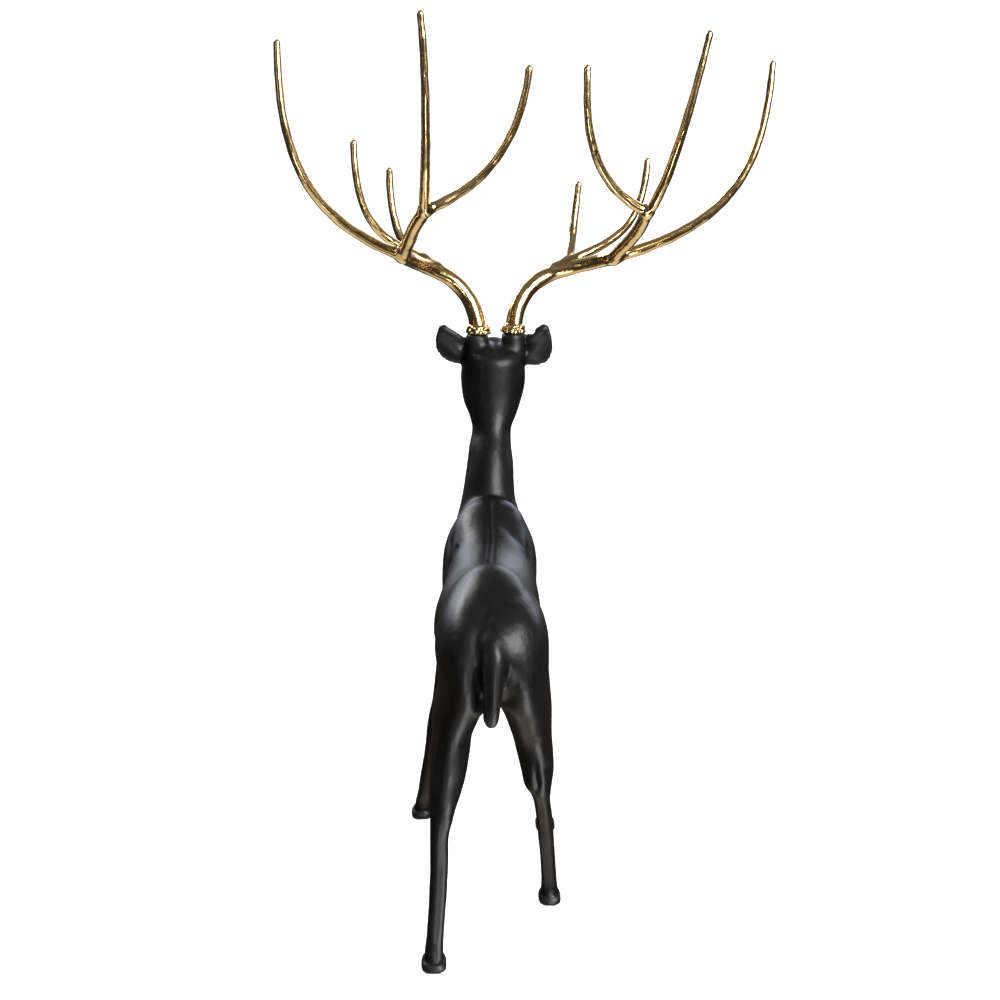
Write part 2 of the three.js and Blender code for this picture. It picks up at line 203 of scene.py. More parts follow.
FORE_RIGHT = (
    (492, -34, 10, -188, -162, -136),
    (465, -44, 19.5, -208, -164, -118),
    (435, -47, 24.5, -228, -167, -106),
    (400, -47, 24.5, -240, -171, -104),
    (350, -48.5, 25, -232, -172, -108),
    (318, -51, 23.5, -218, -172, -120),
    (290, -54, 20, -202, -168, -132),
    (255, -59, 16.5, -192, -166, -140),
    (211, -65.5, 14, -186, -165, -145),
    (185, -70, 14.2, -187, -167, -148),
    (160, -74, 14, -188, -169, -150),
    (140, -77, 12, -187, -171, -155),
    (110, -80.5, 11, -189, -176, -163),
    (75, -84.5, 10.8, -191, -178, -165),
    (46, -88, 11, -193, -180, -166),
    (28, -90, 11.6, -191, -177, -163),
    (14, -91, 12.2, -194, -175, -159),
    (11, -91.6, 14, -200, -175, -157),
    (5, -91.8, 14.6, -206, -175, -154),
    (0, -91.8, 14, -207, -175, -155),
)

# The angles of a dome's rows round its quarter circle, in degrees
DOME_ANGLES = np.linspace(15, 88, 8)
# Each stack: its table, its axis, and how far a dome stands over its first and last end
STACKS = {
    "trunk": (TRUNK, 1, 12, 8),
    "neck": (NECK, 2, 16, 4),
    "head": (HEAD, 1, 4, 3),
    "tail": (TAIL, 2, 6, 2.5),
    "hind_left": (HIND_LEFT, 2, 6, 0),
    "hind_right": (HIND_RIGHT, 2, 6, 0),
    "fore_left": (FORE_LEFT, 2, 6, 0),
    "fore_right": (FORE_RIGHT, 2, 6, 0),
}
LEGS = ("hind_left", "hind_right", "fore_left", "fore_right")
HOOF_TOP = 13
HOOF_SQUARENESS = 0.9
LEAST_REACH = 0.3
ON_SOLE = 0.3
STACK_ROWS = 260
SHELL_ROWS = 90
SHELL_SIDES = 48
# The field of a small form is worked out only near it, and is at least this elsewhere
FAR_OUTSIDE = 30.0

# The order in which the stacks join the trunk, and how wide each join's fillet is
JOINS = {
    "neck": 8,
    "head": 10,
    "hind_left": 16,
    "hind_right": 16,
    "fore_left": 14,
    "fore_right": 14,
    "tail": 9,
}
EAR_FILLET = 6
STUMP_FILLET = 9
EYE_FILLET = 2.5

# The furrow along the spine: its half width, and how much of its depth it has, by place
FURROW_HALF_WIDTH = 7.5
FURROW_SHARES = ((-186, 0), (-165, 0.45), (-60, 0.5), (40, 0.34), (85, 0.14), (125, 0), (240, 0))

# Ears, out from the middle of the head, back and up
HEAD_MIDDLE = -18.5
MUZZLE_MIDDLE = -19.5
EAR_ROOT = (36, -298, 704)
EAR_BEND = (66, -296, 705)
EAR_TIP = (76.5, -294, 749)
EAR_HALF_WIDTHS = (11, 14, 17.5, 21, 22.5, 21, 15.5, 6)
EAR_THICKNESS = 7
# Shares of the half width on the lower and on the upper side of each ear's leaf
EAR_LOWER = {
    1: (1, 1, 1, 0.98, 0.96, 0.93, 0.9, 0.9),
    -1: (1, 1.18, 1.32, 1.34, 1.2, 1, 0.86, 0.8),
}
EAR_UPPER = {
    1: (0.7, 0.8, 0.9, 1, 1, 1, 1, 1),
    -1: (0.15, 0.25, 0.5, 0.82, 1, 1.04, 1.1, 1.1),
}
EAR_SURROUNDINGS = (60, 40, 60)
EAR_CUP = 7
EAR_RIM = 2.4

# Eyes, their place out from the middle of the head
EYE_PLACE = (33, -372, 682)
EYE_RADIUS = 10.5

# Antlers: the burr's underside, how the antler is turned in degrees, its size, and how
# much higher each of its five tips ends than the drawn one, from the outer tine inwards
ANTLERS = {
    "antler_left": {
        "side": 1,
        "base": (5.1, -300, 737),
        "turn": (16.7, -1.1, -3),
        "size": 1.0125,
        "lifts": (0, 2, -3, 0, 0),
    },
    "antler_right": {
        "side": -1,
        "base": (-47, -300, 738),
        "turn": (16.7, 1.1, -3),
        "size": 0.9875,
        "lifts": (9, -4, 0, -8, -7),
    },
}
STUMP_RADIUS = 16.5
STUMP_FLARE = 3
STUMP_DEPTH = 34
ANTLER_GAP = 0.3

# Control points of each branch, outward, back and up from the burr: the beam rises to a
# node, runs on from it to a fork, and the tines end in free tips
NODE = (134.6, 51.9, 119.6)
FORK = (138.5, 160.6, 194.7)
BEAM_SEAT = 3
BEAM = ((0, 0, BEAM_SEAT), (8.6, -10.3, 92.8), (82, -39.6, 88.9), NODE)
BEAM_RADII = (12.5, 10)
LINK = (NODE, (143.2, 124.8, 165), (143.2, 124.8, 165), FORK)
LINK_RADII = (10, 9)
TINES = (
    (NODE, (296.3, 118, 175.6), (333.9, 130.3, 262.2), (338.8, 125.3, 402.9)),
    (FORK, (150.5, 188.5, 217.4), (159.2, 234.2, 316.5), (181, 242.4, 448)),
    (FORK, (42.7, 168.7, 233.1), (20.6, 202.6, 312.9), (18.1, 206.3, 391)),
    ((63.7, -10.8, 97.1), (151.8, -7.4, 136.9), (194.7, 13.7, 151.4), (200.5, 6.6, 270.6)),
    ((84, -10, 107), (109.3, -59.2, 103.9), (120.7, -79.9, 171.7), (123.4, -77.2, 227.4)),
)
TINE_ROOT_RADII = (8.5, 7.5, 7.5, 7.5, 7.5)
TINE_TIP_RADIUS = 4.75


def curve_rows(stations, count):
    """A smooth curve through the stations, column by column: between two rows it is the
    cubic that leaves and arrives with half the step between their neighbours."""
    rows = np.asarray(stations, float)
    padded = np.vstack([2 * rows[0] - rows[1], rows, 2 * rows[-1] - rows[-2]])
    place = np.linspace(0, len(rows) - 1, count)
    first = np.minimum(place.astype(int), len(rows) - 2)
    part = (place - first)[:, None]
    before, here, after, beyond = (padded[first + step] for step in range(4))
    leave = (after - before) / 2
    arrive = (beyond - here) / 2
    bend = 2 * (here - after) + leave + arrive
    swing = 3 * (after - here) - 2 * leave - arrive
    return here + part * (leave + part * (swing + part * bend))


def domed_end(row, dome):
    """Rows that close an end: the place goes on by a sine and the size falls by a cosine."""
    angle = np.radians(DOME_ANGLES)[:, None]
    at, middle, half, low, wide, high = row
    shrink = np.cos(angle)
    return np.hstack([
        at + dome * np.sin(angle),
        np.full_like(angle, middle),
        half * shrink,
        wide + (low - wide) * shrink,
        np.full_like(angle, wide),
        wide + (high - wide) * shrink,
    ])


def stack_rows(name, count):
    """All the rows of a stack with its domed ends, in rising order along its axis."""
    table, _, first_dome, last_dome = STACKS[name]
    rows = curve_rows(table, count)
    rising = 1 if table[-1][0] > table[0][0] else -1
    if first_dome:
        rows = np.vstack([domed_end(rows[0], -rising * first_dome)[::-1], rows])
    if last_dome:
        rows = np.vstack([rows, domed_end(rows[-1], rising * last_dome)])
    return rows if rising > 0 else rows[::-1]


def ring_points(rows, axis):
    """A grid of points: each row is two half ellipses about its widest line."""
    angle = np.linspace(0, 2 * np.pi, SHELL_SIDES, endpoint=False)[None, :]
    at, middle, half, low, wide, high = (column[:, None] for column in rows.T)
    across = middle + half * np.cos(angle)
    reach = np.where(np.sin(angle) > 0, high - wide, wide - low)
    other = wide + reach * np.sin(angle)
    along = np.broadcast_to(at, across.shape)
    order = (across, along, other) if axis == 1 else (across, other, along)
    return np.stack(order, axis=-1)


def tube_shell(grid):
    """Points and faces of a closed tube from a grid of rings, with a fan at each end."""
    rings, sides = grid.shape[:2]
    points = np.vstack([grid.reshape(-1, 3), grid[0].mean(axis=0), grid[-1].mean(axis=0)])
    ring, side = np.meshgrid(np.arange(rings - 1), np.arange(sides), indexing="ij")
    beside = (side + 1) % sides
    corners = (ring * sides + side, ring * sides + beside, (ring + 1) * sides + beside)
    quads = np.stack([*corners, (ring + 1) * sides + side], axis=-1).reshape(-1, 4)
    turn = np.arange(sides)
    following = (turn + 1) % sides
    last = (rings - 1) * sides
    lower = np.stack([following, turn, np.full(sides, rings * sides)], axis=-1)
    upper = np.stack([last + turn, last + following, np.full(sides, rings * sides + 1)], axis=-1)
    return points, quads.tolist() + lower.tolist() + upper.tolist()


def joined_shells(shells):
    """One list of points and faces from several shells."""
    faces = []
    start = 0
    for points, shell_faces in shells:
        faces += [[corner + start for corner in face] for face in shell_faces]
        start += len(points)
    return np.vstack([points for points, _ in shells]), faces


def merge(first, second, fillet):
    """The union of two fields with a fillet: the lesser of the two, less a quarter of
    the fillet's width where they are equal, fading out where they differ by its width."""
    near = np.clip(1 - np.abs(first - second) / fillet, 0, None)
    return np.minimum(first, second) - near * near * fillet / 4


def ellipse_distance(across, upward, half, reach, power=2.0):
    """About how far a point lies outside an ellipse, or with a greater power a rounded
    square: what the point's length, in shares of the axes, exceeds one by, over its slope."""
    first = np.maximum(np.abs(across / half), 1e-3)
    second = np.maximum(np.abs(upward / reach), 1e-3)
    length = (first ** power + second ** power) ** (1 / power)
    slope = np.hypot(first ** (power - 1) / half, second ** (power - 1) / reach)
    return (length - 1) * length ** (power - 1) / np.maximum(slope, 1e-4)


def stack_field(name, points):
    """How far points lie outside a stack, from the half ellipse at their own place."""
    rows = stack_rows(name, STACK_ROWS)
    axis = STACKS[name][1]
    at = points[:, axis]
    places = np.maximum.accumulate(rows[:, 0])
    middle, half, low, wide, high = (np.interp(at, places, column) for column in rows.T[1:])
    upward = points[:, 3 - axis] - wide
    reach = np.where(upward > 0, high - wide, wide - low)
    power = 2 + HOOF_SQUARENESS * np.clip((HOOF_TOP - at) / 4, 0, 1) if name in LEGS else 2.0
    half, reach = (np.maximum(size, LEAST_REACH) for size in (half, reach))
    around = ellipse_distance(points[:, 0] - middle, upward, half, reach, power)
    beyond = np.maximum(at - places[-1], places[0] - at)
    return np.maximum(around, beyond)


def nearest_on_path(points, path):
    """For each point, the distance to a path of straight pieces, and how far along the
    path, from 0 to 1, its nearest place lies."""
    best = np.full(len(points), np.inf)
    share = np.zeros(len(points))
    lengths = np.linalg.norm(np.diff(path, axis=0), axis=1)
    starts = np.concatenate([[0], np.cumsum(lengths)]) / lengths.sum()
    for index, length in enumerate(lengths):
        step = path[index + 1] - path[index]
        part = np.clip((points - path[index]) @ step / length ** 2, 0, 1)
        gap = np.linalg.norm(points - path[index] - part[:, None] * step, axis=1)
        closer = gap < best
        best = np.where(closer, gap, best)
        share = np.where(closer, starts[index] + part * (starts[index + 1] - starts[index]), share)
    return best, share


def near_path(points, path, margin):
    """Which points lie in the box about a path, with a margin round it."""
    low = path.min(axis=0) - margin
    high = path.max(axis=0) + margin
    return np.all((points > low) & (points < high), axis=1)


def stroke(points, path, width, height):
    """A ridge, or with a negative height a groove, along a path: a bell curve across it,
    its height fading over the first and last sixth of its length."""
    path = np.asarray(path, float)
    inside = near_path(points, path, 3 * width)
    raised = np.zeros(len(points))
    gap, share = nearest_on_path(points[inside], path)
    fade = np.clip(np.minimum(share, 1 - share) * 6 + 0.25, 0, 1)
    raised[inside] = height * np.exp(-(gap / width) ** 2) * fade
    return raised


def lobe(points, centre, radii, height):
    """A soft swelling: a bell curve of the distance in shares of three radii."""
    shares = (points - np.asarray(centre, float)) / np.asarray(radii, float)
    return height * np.exp(-np.sum(shares * shares, axis=1))


def waves(points, length, height, seed, count=14):
    """Smooth unevenness: the mean of plane waves of one length in seeded directions."""
    chance = np.random.default_rng(seed)
    directions = chance.normal(size=(count, 3))
    directions /= np.linalg.norm(directions, axis=1)[:, None]
    phases = chance.uniform(0, 2 * np.pi, count)
    total = np.sin(points @ directions.T * (2 * np.pi / length) + phases).sum(axis=1)
    return height * total * np.sqrt(2 / count)


def bezier(bends, count):
    """Places along a cubic curve from its four control points."""
    part = np.linspace(0, 1, count)[:, None]
    rest = 1 - part
    a, b, c, d = (np.asarray(bend, float) for bend in bends)
    return a * rest ** 3 + 3 * b * rest ** 2 * part + 3 * c * rest * part ** 2 + d * part ** 3


def turned(place):
    """The rotation of an antler: about Z, then its own X, then its own Y."""
    yaw, tilt, roll = np.radians(place["turn"])
    about_z = np.array([[np.cos(yaw), -np.sin(yaw), 0], [np.sin(yaw), np.cos(yaw), 0], [0, 0, 1]])
    about_x = np.array([[1, 0, 0], [0, np.cos(tilt), -np.sin(tilt)], [0, np.sin(tilt), np.cos(tilt)]])
    about_y = np.array([[np.cos(roll), 0, np.sin(roll)], [0, 1, 0], [-np.sin(roll), 0, np.cos(roll)]])
    return about_z @ about_x @ about_y


def antler_places(points, place):
    """Points given in the stag's axes, in the axes of an antler that stands on its burr."""
    return (points - np.asarray(place["base"], float)) @ turned(place)


def stump_field(points, place):
    """How far points lie outside a stump: a cone about the antler's axis, cut off flat."""
    local = antler_places(points, place)
    flare = STUMP_FLARE * np.clip(-local[:, 2] / STUMP_DEPTH, 0, 1)
    around = np.hypot(local[:, 0], local[:, 1]) - STUMP_RADIUS - flare
    above = local[:, 2] + ANTLER_GAP
    below = -STUMP_DEPTH - local[:, 2]
    return np.maximum(np.maximum(around, above), below)


def ear_path(side, count):
    """Places along an ear's bent path, and the share of the way at each: the root by the
    square of the share that is left, the bend by twice both shares' product, and the tip
    by the square of the share gone."""
    root, bend, tip = (
        np.array([HEAD_MIDDLE + side * at[0], at[1], at[2]], float) for at in (EAR_ROOT, EAR_BEND, EAR_TIP))
    part = np.linspace(0, 1, count)[:, None]
    return root * (1 - part) ** 2 + 2 * bend * part * (1 - part) + tip * part ** 2, part


def ear_widths(part, side):
    """An ear's half width at shares of its path, and its shares below and above."""
    places = np.linspace(0, 1, len(EAR_HALF_WIDTHS))
    tables = (EAR_HALF_WIDTHS, EAR_LOWER[side], EAR_UPPER[side])
    return [np.interp(part, places, table) for table in tables]


def ear_hollow(shift, part):
    """How far an ear's leaf cups forward: by the square of the share across it, and by
    most of half a sine wave along it."""
    return -EAR_CUP * shift ** 2 * np.sin(np.pi * np.minimum(1, part + 0.2))


def ear_frame(points, side):
    """Places in an ear: how far along it from 0 to 1, how far across its leaf, and how
    far behind its middle surface, which cups forward at the edges."""
    path, _ = ear_path(side, 25)
    flat_path = path * (1, 0, 1)
    _, share = nearest_on_path(points * (1, 0, 1), flat_path)
    along = np.linspace(0, 1, len(path))
    lengths = np.linalg.norm(np.diff(flat_path, axis=0), axis=1)
    places = np.concatenate([[0], np.cumsum(lengths)]) / lengths.sum()
    part_here = np.interp(share, places, along)
    middle = np.stack([np.interp(share, places, column) for column in path.T], axis=1)
    slope = np.gradient(path, axis=0)
    forward = np.stack([np.interp(share, places, column) for column in slope.T], axis=1) * (1, 0, 1)
    forward /= np.linalg.norm(forward, axis=1)[:, None]
    sideways = np.stack([-forward[:, 2], np.zeros(len(points)), forward[:, 0]], axis=1)
    offset = points - middle
    return part_here, np.sum(offset * sideways, axis=1), offset[:, 1], np.sum(offset * forward, axis=1)


def ear_field(points, side):
    """How far points lie outside an ear: flat ovals along its path, cupped forward."""
    centre = np.array([HEAD_MIDDLE + side * EAR_BEND[0], EAR_BEND[1], (EAR_ROOT[2] + EAR_TIP[2]) / 2])
    inside = np.all(np.abs(points - centre) < EAR_SURROUNDINGS, axis=1)
    field = np.full(len(points), 2 * FAR_OUTSIDE)
    part, across, behind, beyond = ear_frame(points[inside], side)
    half, lower, upper = ear_widths(part, side)
    half = half * np.where(across * side < 0, lower, upper)
    shift = np.clip(across / half, -1.2, 1.2)
    thick = EAR_THICKNESS / 2 - (EAR_THICKNESS / 2 - EAR_RIM) * np.minimum(1, shift ** 2)
    inwards = np.maximum(np.abs(across) - half + EAR_RIM, 0)
    around = np.hypot(inwards, behind - ear_hollow(shift, part)) - thick
    past_end = np.where((part < 0.001) | (part > 0.999), np.abs(beyond) - 2, -10)
    field[inside] = np.maximum(around, past_end)
    return field


def eye_place(side):
    """The middle of an eye."""
    return HEAD_MIDDLE + side * EYE_PLACE[0], EYE_PLACE[1], EYE_PLACE[2]


def ball(points, centre, radius):
    """How far points lie outside a ball."""
    return np.linalg.norm(points - np.asarray(centre, float), axis=1) - radius


def furrow(points, depth):
    """How far the spine's furrow sinks: a narrow cleft on the trunk's upper side."""
    at, middle, _, _, wide, _ = zip(*TRUNK)
    middle, wide = (np.interp(points[:, 1], at, column) for column in (middle, wide))
    share = np.interp(points[:, 1], *zip(*FURROW_SHARES))
    upper = np.clip((points[:, 2] - wide - 20) / 30, 0, 1)
    across = np.exp(-(np.hypot(points[:, 0] - middle, 1.2) - 1.2) / FURROW_HALF_WIDTH)
    return depth * share * across * upper


def figure_relief(points, furrow_depth):
    """How far the carving of the figure and the unevenness of its casting stand out."""
    coarse, fine = FIGURE_WAVES
    raised = waves(points, *coarse, seed=3) + waves(points, *fine, seed=5)
    raised -= furrow(points, furrow_depth)
    for path, width, height in FIGURE_STROKES:
        raised += stroke(points, path, width, height)
    return raised


def figure_swellings(points):
    """How far the broad swellings and hollows of the figure stand out."""
    raised = np.zeros(len(points))
    for centre, radii, height in FIGURE_LOBES:
        raised += lobe(points, centre, radii, height)
    return raised


def both_sides(middle, *strokes):
    """Each stroke, and after it the same stroke on the other side of a middle in X."""
    for path, width, height in strokes:
        yield path, width, height
        yield tuple((2 * middle - at[0], at[1], at[2]) for at in path), width, height


# Ridges and grooves of the figure: a path, its half width and its height
FIGURE_STROKES = (
    # Behind: the furrow that runs from the croup into the tail's left side
    (((-3, 80, 478), (-1, 140, 478), (2, 188, 463), (6, 214, 448), (11, 230, 430)), 10, -2.4),
    # The tail's ridge, a second fine line beside it, and a slot on each side of it
    (((-3, 236, 428), (-3, 246, 405), (-2, 252, 370), (0, 252, 330)), 5.5, 2.8),
    (((10, 236, 430), (11, 246, 395), (9, 249, 360), (8, 249, 330)), 2.4, 1.2),
    (((22, 234, 404), (21, 234, 386), (18, 230, 358), (15, 230, 335)), 4.5, -4),
    (((-19, 236, 402), (-18.5, 234, 386), (-16, 230, 358), (-13, 230, 335)), 4.5, -3.6),
    # Where the upper arm leaves the ribs, on each side
    (((46, -146, 470), (53, -118, 447), (58, -98, 420), (56, -100, 380)), 7, -3),
    (((-60, -128, 465), (-68, -104, 442), (-70, -92, 415), (-66, -98, 380)), 7, -3),
    # The back edge of each shoulder blade
    (((42, -104, 468), (50, -99, 452), (56, -98, 436)), 9, -2.4),
    (((-22, -122, 494), (-40, -102, 478), (-57, -97, 458), (-66, -104, 436)), 12, -2.6),
    # The edge where the croup rises from the back
    (((58, 88, 448), (46, 52, 462), (28, 36, 472)), 14, -1.2),
    (((-30, 36, 472), (-46, 52, 462), (-62, 80, 444)), 14, -1.2),
    # The left gaskin: its inner ridge and a lesser ridge beside it
    (((54, 232, 322), (55, 228, 290), (57, 230, 262), (60, 238, 232), (61, 245, 206)), 8, 2.4),
    (((69, 218, 330), (72, 212, 290), (73, 220, 256), (72, 234, 215)), 6, 2.0),
    # The right gaskin: its tendon, and the hollow inside it
    (((-52, 202, 300), (-58, 190, 276), (-65, 180, 246), (-69, 175, 214)), 5, 3.2),
    (((-52, 186, 262), (-57, 178, 238), (-61, 174, 214), (-60, 168, 198)), 5, -4.2),
    (((-66, 186, 290), (-70, 176, 262), (-74, 166, 232)), 9, 2.6),
    # A groove between bone and sinew down the back of each hind shank
    (((62, 247, 196), (65, 252, 144), (70, 263, 93), (74, 274, 40)), 4.5, -1.8),
    (((-66, 164, 184), (-70, 136, 120), (-76, 102, 52)), 4, -1.2),
    # The notch above each hind hoof
    (((75.5, 277, 36), (75.5, 278, 22)), 3, -3),
    (((-82, 96, 34), (-83, 93, 22)), 3, -3),
    # The cleft of each hoof, in front
    (((77.3, 232, 18), (77.3, 228, 0)), 1.8, -2.2),
    (((-83.8, 46, 18), (-83.8, 40, 0)), 1.8, -2.2),
    (((95.2, -250, 18), (95.4, -260, 0)), 1.8, -2.2),
    (((-91.8, -198, 14), (-91.8, -207, 0)), 1.8, -2.2),
    # A dent across the poll, and the crease where the nape meets the neck
    (((15, -282, 714), (-3, -270, 716), (-30, -269, 716), (-52, -281, 713)), 6.5, -1.3),
    (((-6, -248, 615), (-22, -249, 614), (-38, -258, 614)), 4, 0.2),
    # Small marks on the nape
    (((-20, -264, 704), (-15, -263, 695)), 2.8, 0.5),
    (((-26, -265, 705), (-24, -264, 696)), 2.8, 0.5),
    (((-18.4, -261, 674), (-18, -261, 672)), 2.4, -1.0),
    (((-16.4, -260, 666), (-16, -260, 664)), 2.4, -1.0),
    # The folded rim along the top of each ear
    (((58, -291, 748), (45, -291, 741), (30, -295, 730), (20, -298, 722)), 3.6, 2.0),
    (((-96, -291, 746), (-83, -291, 738), (-68, -295, 725), (-58, -298, 714)), 3.6, 2.0),
    # The line of the mouth and the nostrils
    *both_sides(
        MUZZLE_MIDDLE,
        (((-0.5, -440, 622), (-2, -462, 622), (-6, -484, 624), (-19.5, -499, 626)), 2.2, -1.8),
        (((-9, -490, 636), (-5, -484, 641)), 3, -3.2),
    ),
    # The lids of the eyes
    *both_sides(
        HEAD_MIDDLE,
        (((13, -384, 679), (16, -380, 689), (19, -371, 693), (20, -360, 688)), 2.4, 2.0),
        (((13, -384, 679), (17, -379, 674), (21, -370, 672), (20, -360, 679)), 2.2, 1.5),
    ),
)

# Swellings and hollows of the figure: a centre, three radii and a height
FIGURE_LOBES = (
    # Shoulder blades beside the withers
    ((27, -160, 500), (20, 50, 26), 2.5),
    ((-42, -160, 498), (20, 45, 26), 4),
    # Croup and buttocks
    ((36, 150, 470), (26, 60, 30), 1.5),
    ((-34, 160, 470), (26, 60, 30), 2),
    ((24, 232, 415), (12, 22, 34), 2.5),
    ((-17, 232, 425), (15, 26, 36), 5),
    # The poll, behind the stumps
    ((-18, -270, 706), (34, 16, 12), 4),
    # The hollow beside the right buttock
    ((-47, 226, 406), (16, 28, 44), -4),
    # The webs of skin beside the tail's root
    ((17, 214, 334), (9, 22, 10), 6),
    ((-13, 210, 334), (9, 22, 10), 5),
    # The small lumps where the ears and stumps leave the head
    ((13, -284, 726), (6, 6, 5), 1.6),
    ((15, -279, 709), (7, 6, 6), 1.6),
    ((-60, -290, 720), (5, 6, 5), 1.8),
    # Cheeks
    ((24, -345, 655), (14, 26, 20), 2.5),
    ((-62, -345, 655), (14, 26, 20), 2.5),
    # Knees of the forelegs
    ((68, -200, 180), (14, 10, 16), 1.5),
    ((-70, -186, 180), (14, 10, 16), 1.5),
)

# Where the joins are eased by smoothing: a centre, three radii and a share
SOFT_PLACES = (
    ((0, 170, 420), (85, 110, 80), 1.8),
    ((-5, -130, 440), (85, 90, 90), 1.8),
    ((-18, -285, 660), (60, 45, 60), 1.8),
)
# By turns out to the neighbours' mean and a little further back, which doesn't shrink
SOFT_STEPS = (0.62, -0.632) * 170
# Where a fold that the casting doesn't have is smoothed away: the same three
CALM_PLACES = (
    ((38, 165, 468), (30, 50, 28), 1.3),
    ((26, -140, 496), (32, 56, 30), 1.6),
    ((-34, 226, 424), (26, 34, 38), 1.2),
    ((-18, -284, 708), (26, 26, 16), 1.3),
)
CALM_STEPS = (0.5,) * 90
# The tail keeps its form: no smoothing within this gap of its line, all of it at twice that
TAIL_LINE = ((0, 244, 408), (0, 240, 375), (2, 242, 318))
TAIL_CLEAR = 12


def figure_field(points):
    """How far points lie outside the plain figure: its forms joined with fillets of their
    own widths, the stumps cut flat under the antlers, and the soles cut flat."""
    field = stack_field("trunk", points)
    for name, fillet in JOINS.items():
        field = merge(field, stack_field(name, points), fillet)
    for place in ANTLERS.values():
        side = place["side"]
        field = merge(field, ear_field(points, side), EAR_FILLET)
        field = merge(field, stump_field(points, place), STUMP_FILLET)
        field = merge(field, ball(points, eye_place(side), EYE_RADIUS), EYE_FILLET)
    for place in ANTLERS.values():
        local = antler_places(points, place)
        seat = (np.hypot(local[:, 0], local[:, 1]) < 2 * STUMP_RADIUS) & (local[:, 2] > -8)
        field = np.where(seat, np.maximum(field, local[:, 2] + ANTLER_GAP), field)
    return np.maximum(field, -points[:, 2])


def antler_branches(place, share):
    """Each branch: its path, its radius at the start and at the end, and whether it ends
    in a free tip."""
    scale = np.array([place["side"], 1, 1]) * place["size"] * share
    branches = [
        (bezier(BEAM, 28) * scale, *BEAM_RADII, False),
        (bezier(LINK, 12) * scale, *LINK_RADII, False),
    ]
    for (*bends, tip), root_radius, lift in zip(TINES, TINE_ROOT_RADII, place["lifts"]):
        path = bezier((*bends, (tip[0], tip[1], tip[2] + lift)), 28) * scale
        branches.append((path, root_radius, TINE_TIP_RADIUS, True))
    return branches


# Unevenness of the two castings, coarse and fine: the length and height of its waves
FIGURE_WAVES = ((38, 0.12), (9, 0.05))
ANTLER_WAVES = ((30, 0.2), (12, 0.05))

BURR_RADIUS = 19
BURR_HEIGHT = 13.5
# The rows of beads round a burr: the share of its height, the count and the inset of each
BEAD_ROWS = ((0.3, 12, 0), (0.72, 10, 1))
BEAD_RADII = (3.2, 4.4)
BEAD_FILLET = 1.0
# How far the drum stays inside the beads' reach, and below its own height
DRUM_INSET = 3.4
DRUM_TOP_INSET = 0.6
BRANCH_FILLET = 7
BURR_FILLET = 2.5


def branch_field(points, path, start, end):
    """How far points lie outside a round branch that thins evenly along its path."""
    inside = near_path(points, path, FAR_OUTSIDE)
    field = np.full(len(points), FAR_OUTSIDE)
    gap, share = nearest_on_path(points[inside], path)
    field[inside] = gap - (start + (end - start) * share)
    return field


def burr_field(points, seed):
    """How far points lie outside a burr: a low drum with two rows of uneven beads."""
    chance = np.random.default_rng(seed)
    around = np.hypot(points[:, 0], points[:, 1])
    middle = BURR_HEIGHT / 2
    upright = np.abs(points[:, 2] - middle) - middle
    ring = np.maximum(around - BURR_RADIUS + DRUM_INSET, upright + DRUM_TOP_INSET)
    for share, count, inset in BEAD_ROWS:
        angles = np.linspace(0, 2 * np.pi, count, endpoint=False)
        angles += chance.uniform(-0.12, 0.12, count)
        for angle in angles:
            size = chance.uniform(*BEAD_RADII)
            reach = BURR_RADIUS - size + chance.uniform(-0.4, 0.8) - inset
            up = share * BURR_HEIGHT + chance.uniform(-0.8, 0.8)
            centre = (reach * np.cos(angle), reach * np.sin(angle), up)
            ring = merge(ring, ball(points, centre, size), BEAD_FILLET)
    return np.maximum(ring, -points[:, 2])


def antler_field(points, branches, seed):
    """How far points lie outside an antler: its branches joined with fillets, with slow
    and quick unevenness as hand polishing leaves, on its burr."""
    field = np.full(len(points), 2 * FAR_OUTSIDE)
    for path, start, end, _ in branches:
        field = merge(field, branch_field(points, path, start, end), BRANCH_FILLET)
    for step, wave in enumerate(ANTLER_WAVES):
        field = field - waves(points, *wave, seed=seed + step)
    return merge(field, burr_field(points, seed), BURR_FILLET)


def mesh_points(mesh):
    """The places of a mesh's vertices as rows."""
    points = np.empty(len(mesh.vertices) * 3)
    mesh.vertices.foreach_get("co", points)
    return points.reshape(-1, 3)


def mesh_edges(mesh):
    """The vertex pairs of a mesh's edges as rows."""
    pairs = np.empty(len(mesh.edges) * 2, dtype=np.int64)
    mesh.edges.foreach_get("vertices", pairs)
    return pairs.reshape(-1, 2)


def neighbour_mean(values, pairs):
    """For each vertex the mean of its neighbours' values."""
    count = len(values)
    ends = np.concatenate([pairs[:, 0], pairs[:, 1]])
    others = np.concatenate([pairs[:, 1], pairs[:, 0]])
    share = np.bincount(ends, minlength=count)
    sums = [np.bincount(ends, weights=column[others], minlength=count) for column in values.T]
    return np.stack(sums, axis=1) / share[:, None]


def field_slope(field, points, values):
    """The field's slope at points, from steps of a fifth of a millimetre."""
    step = 0.2
    return np.stack([(field(points + step * axis) - values) / step for axis in np.eye(3)], axis=1)


# Drawing the skin onto a field: the bounds of a step, and how much each round evens out
LEAST_SLOPE_SQUARE = 0.15
LONGEST_STEP = 2.5
EVENING_SHARE = 0.6


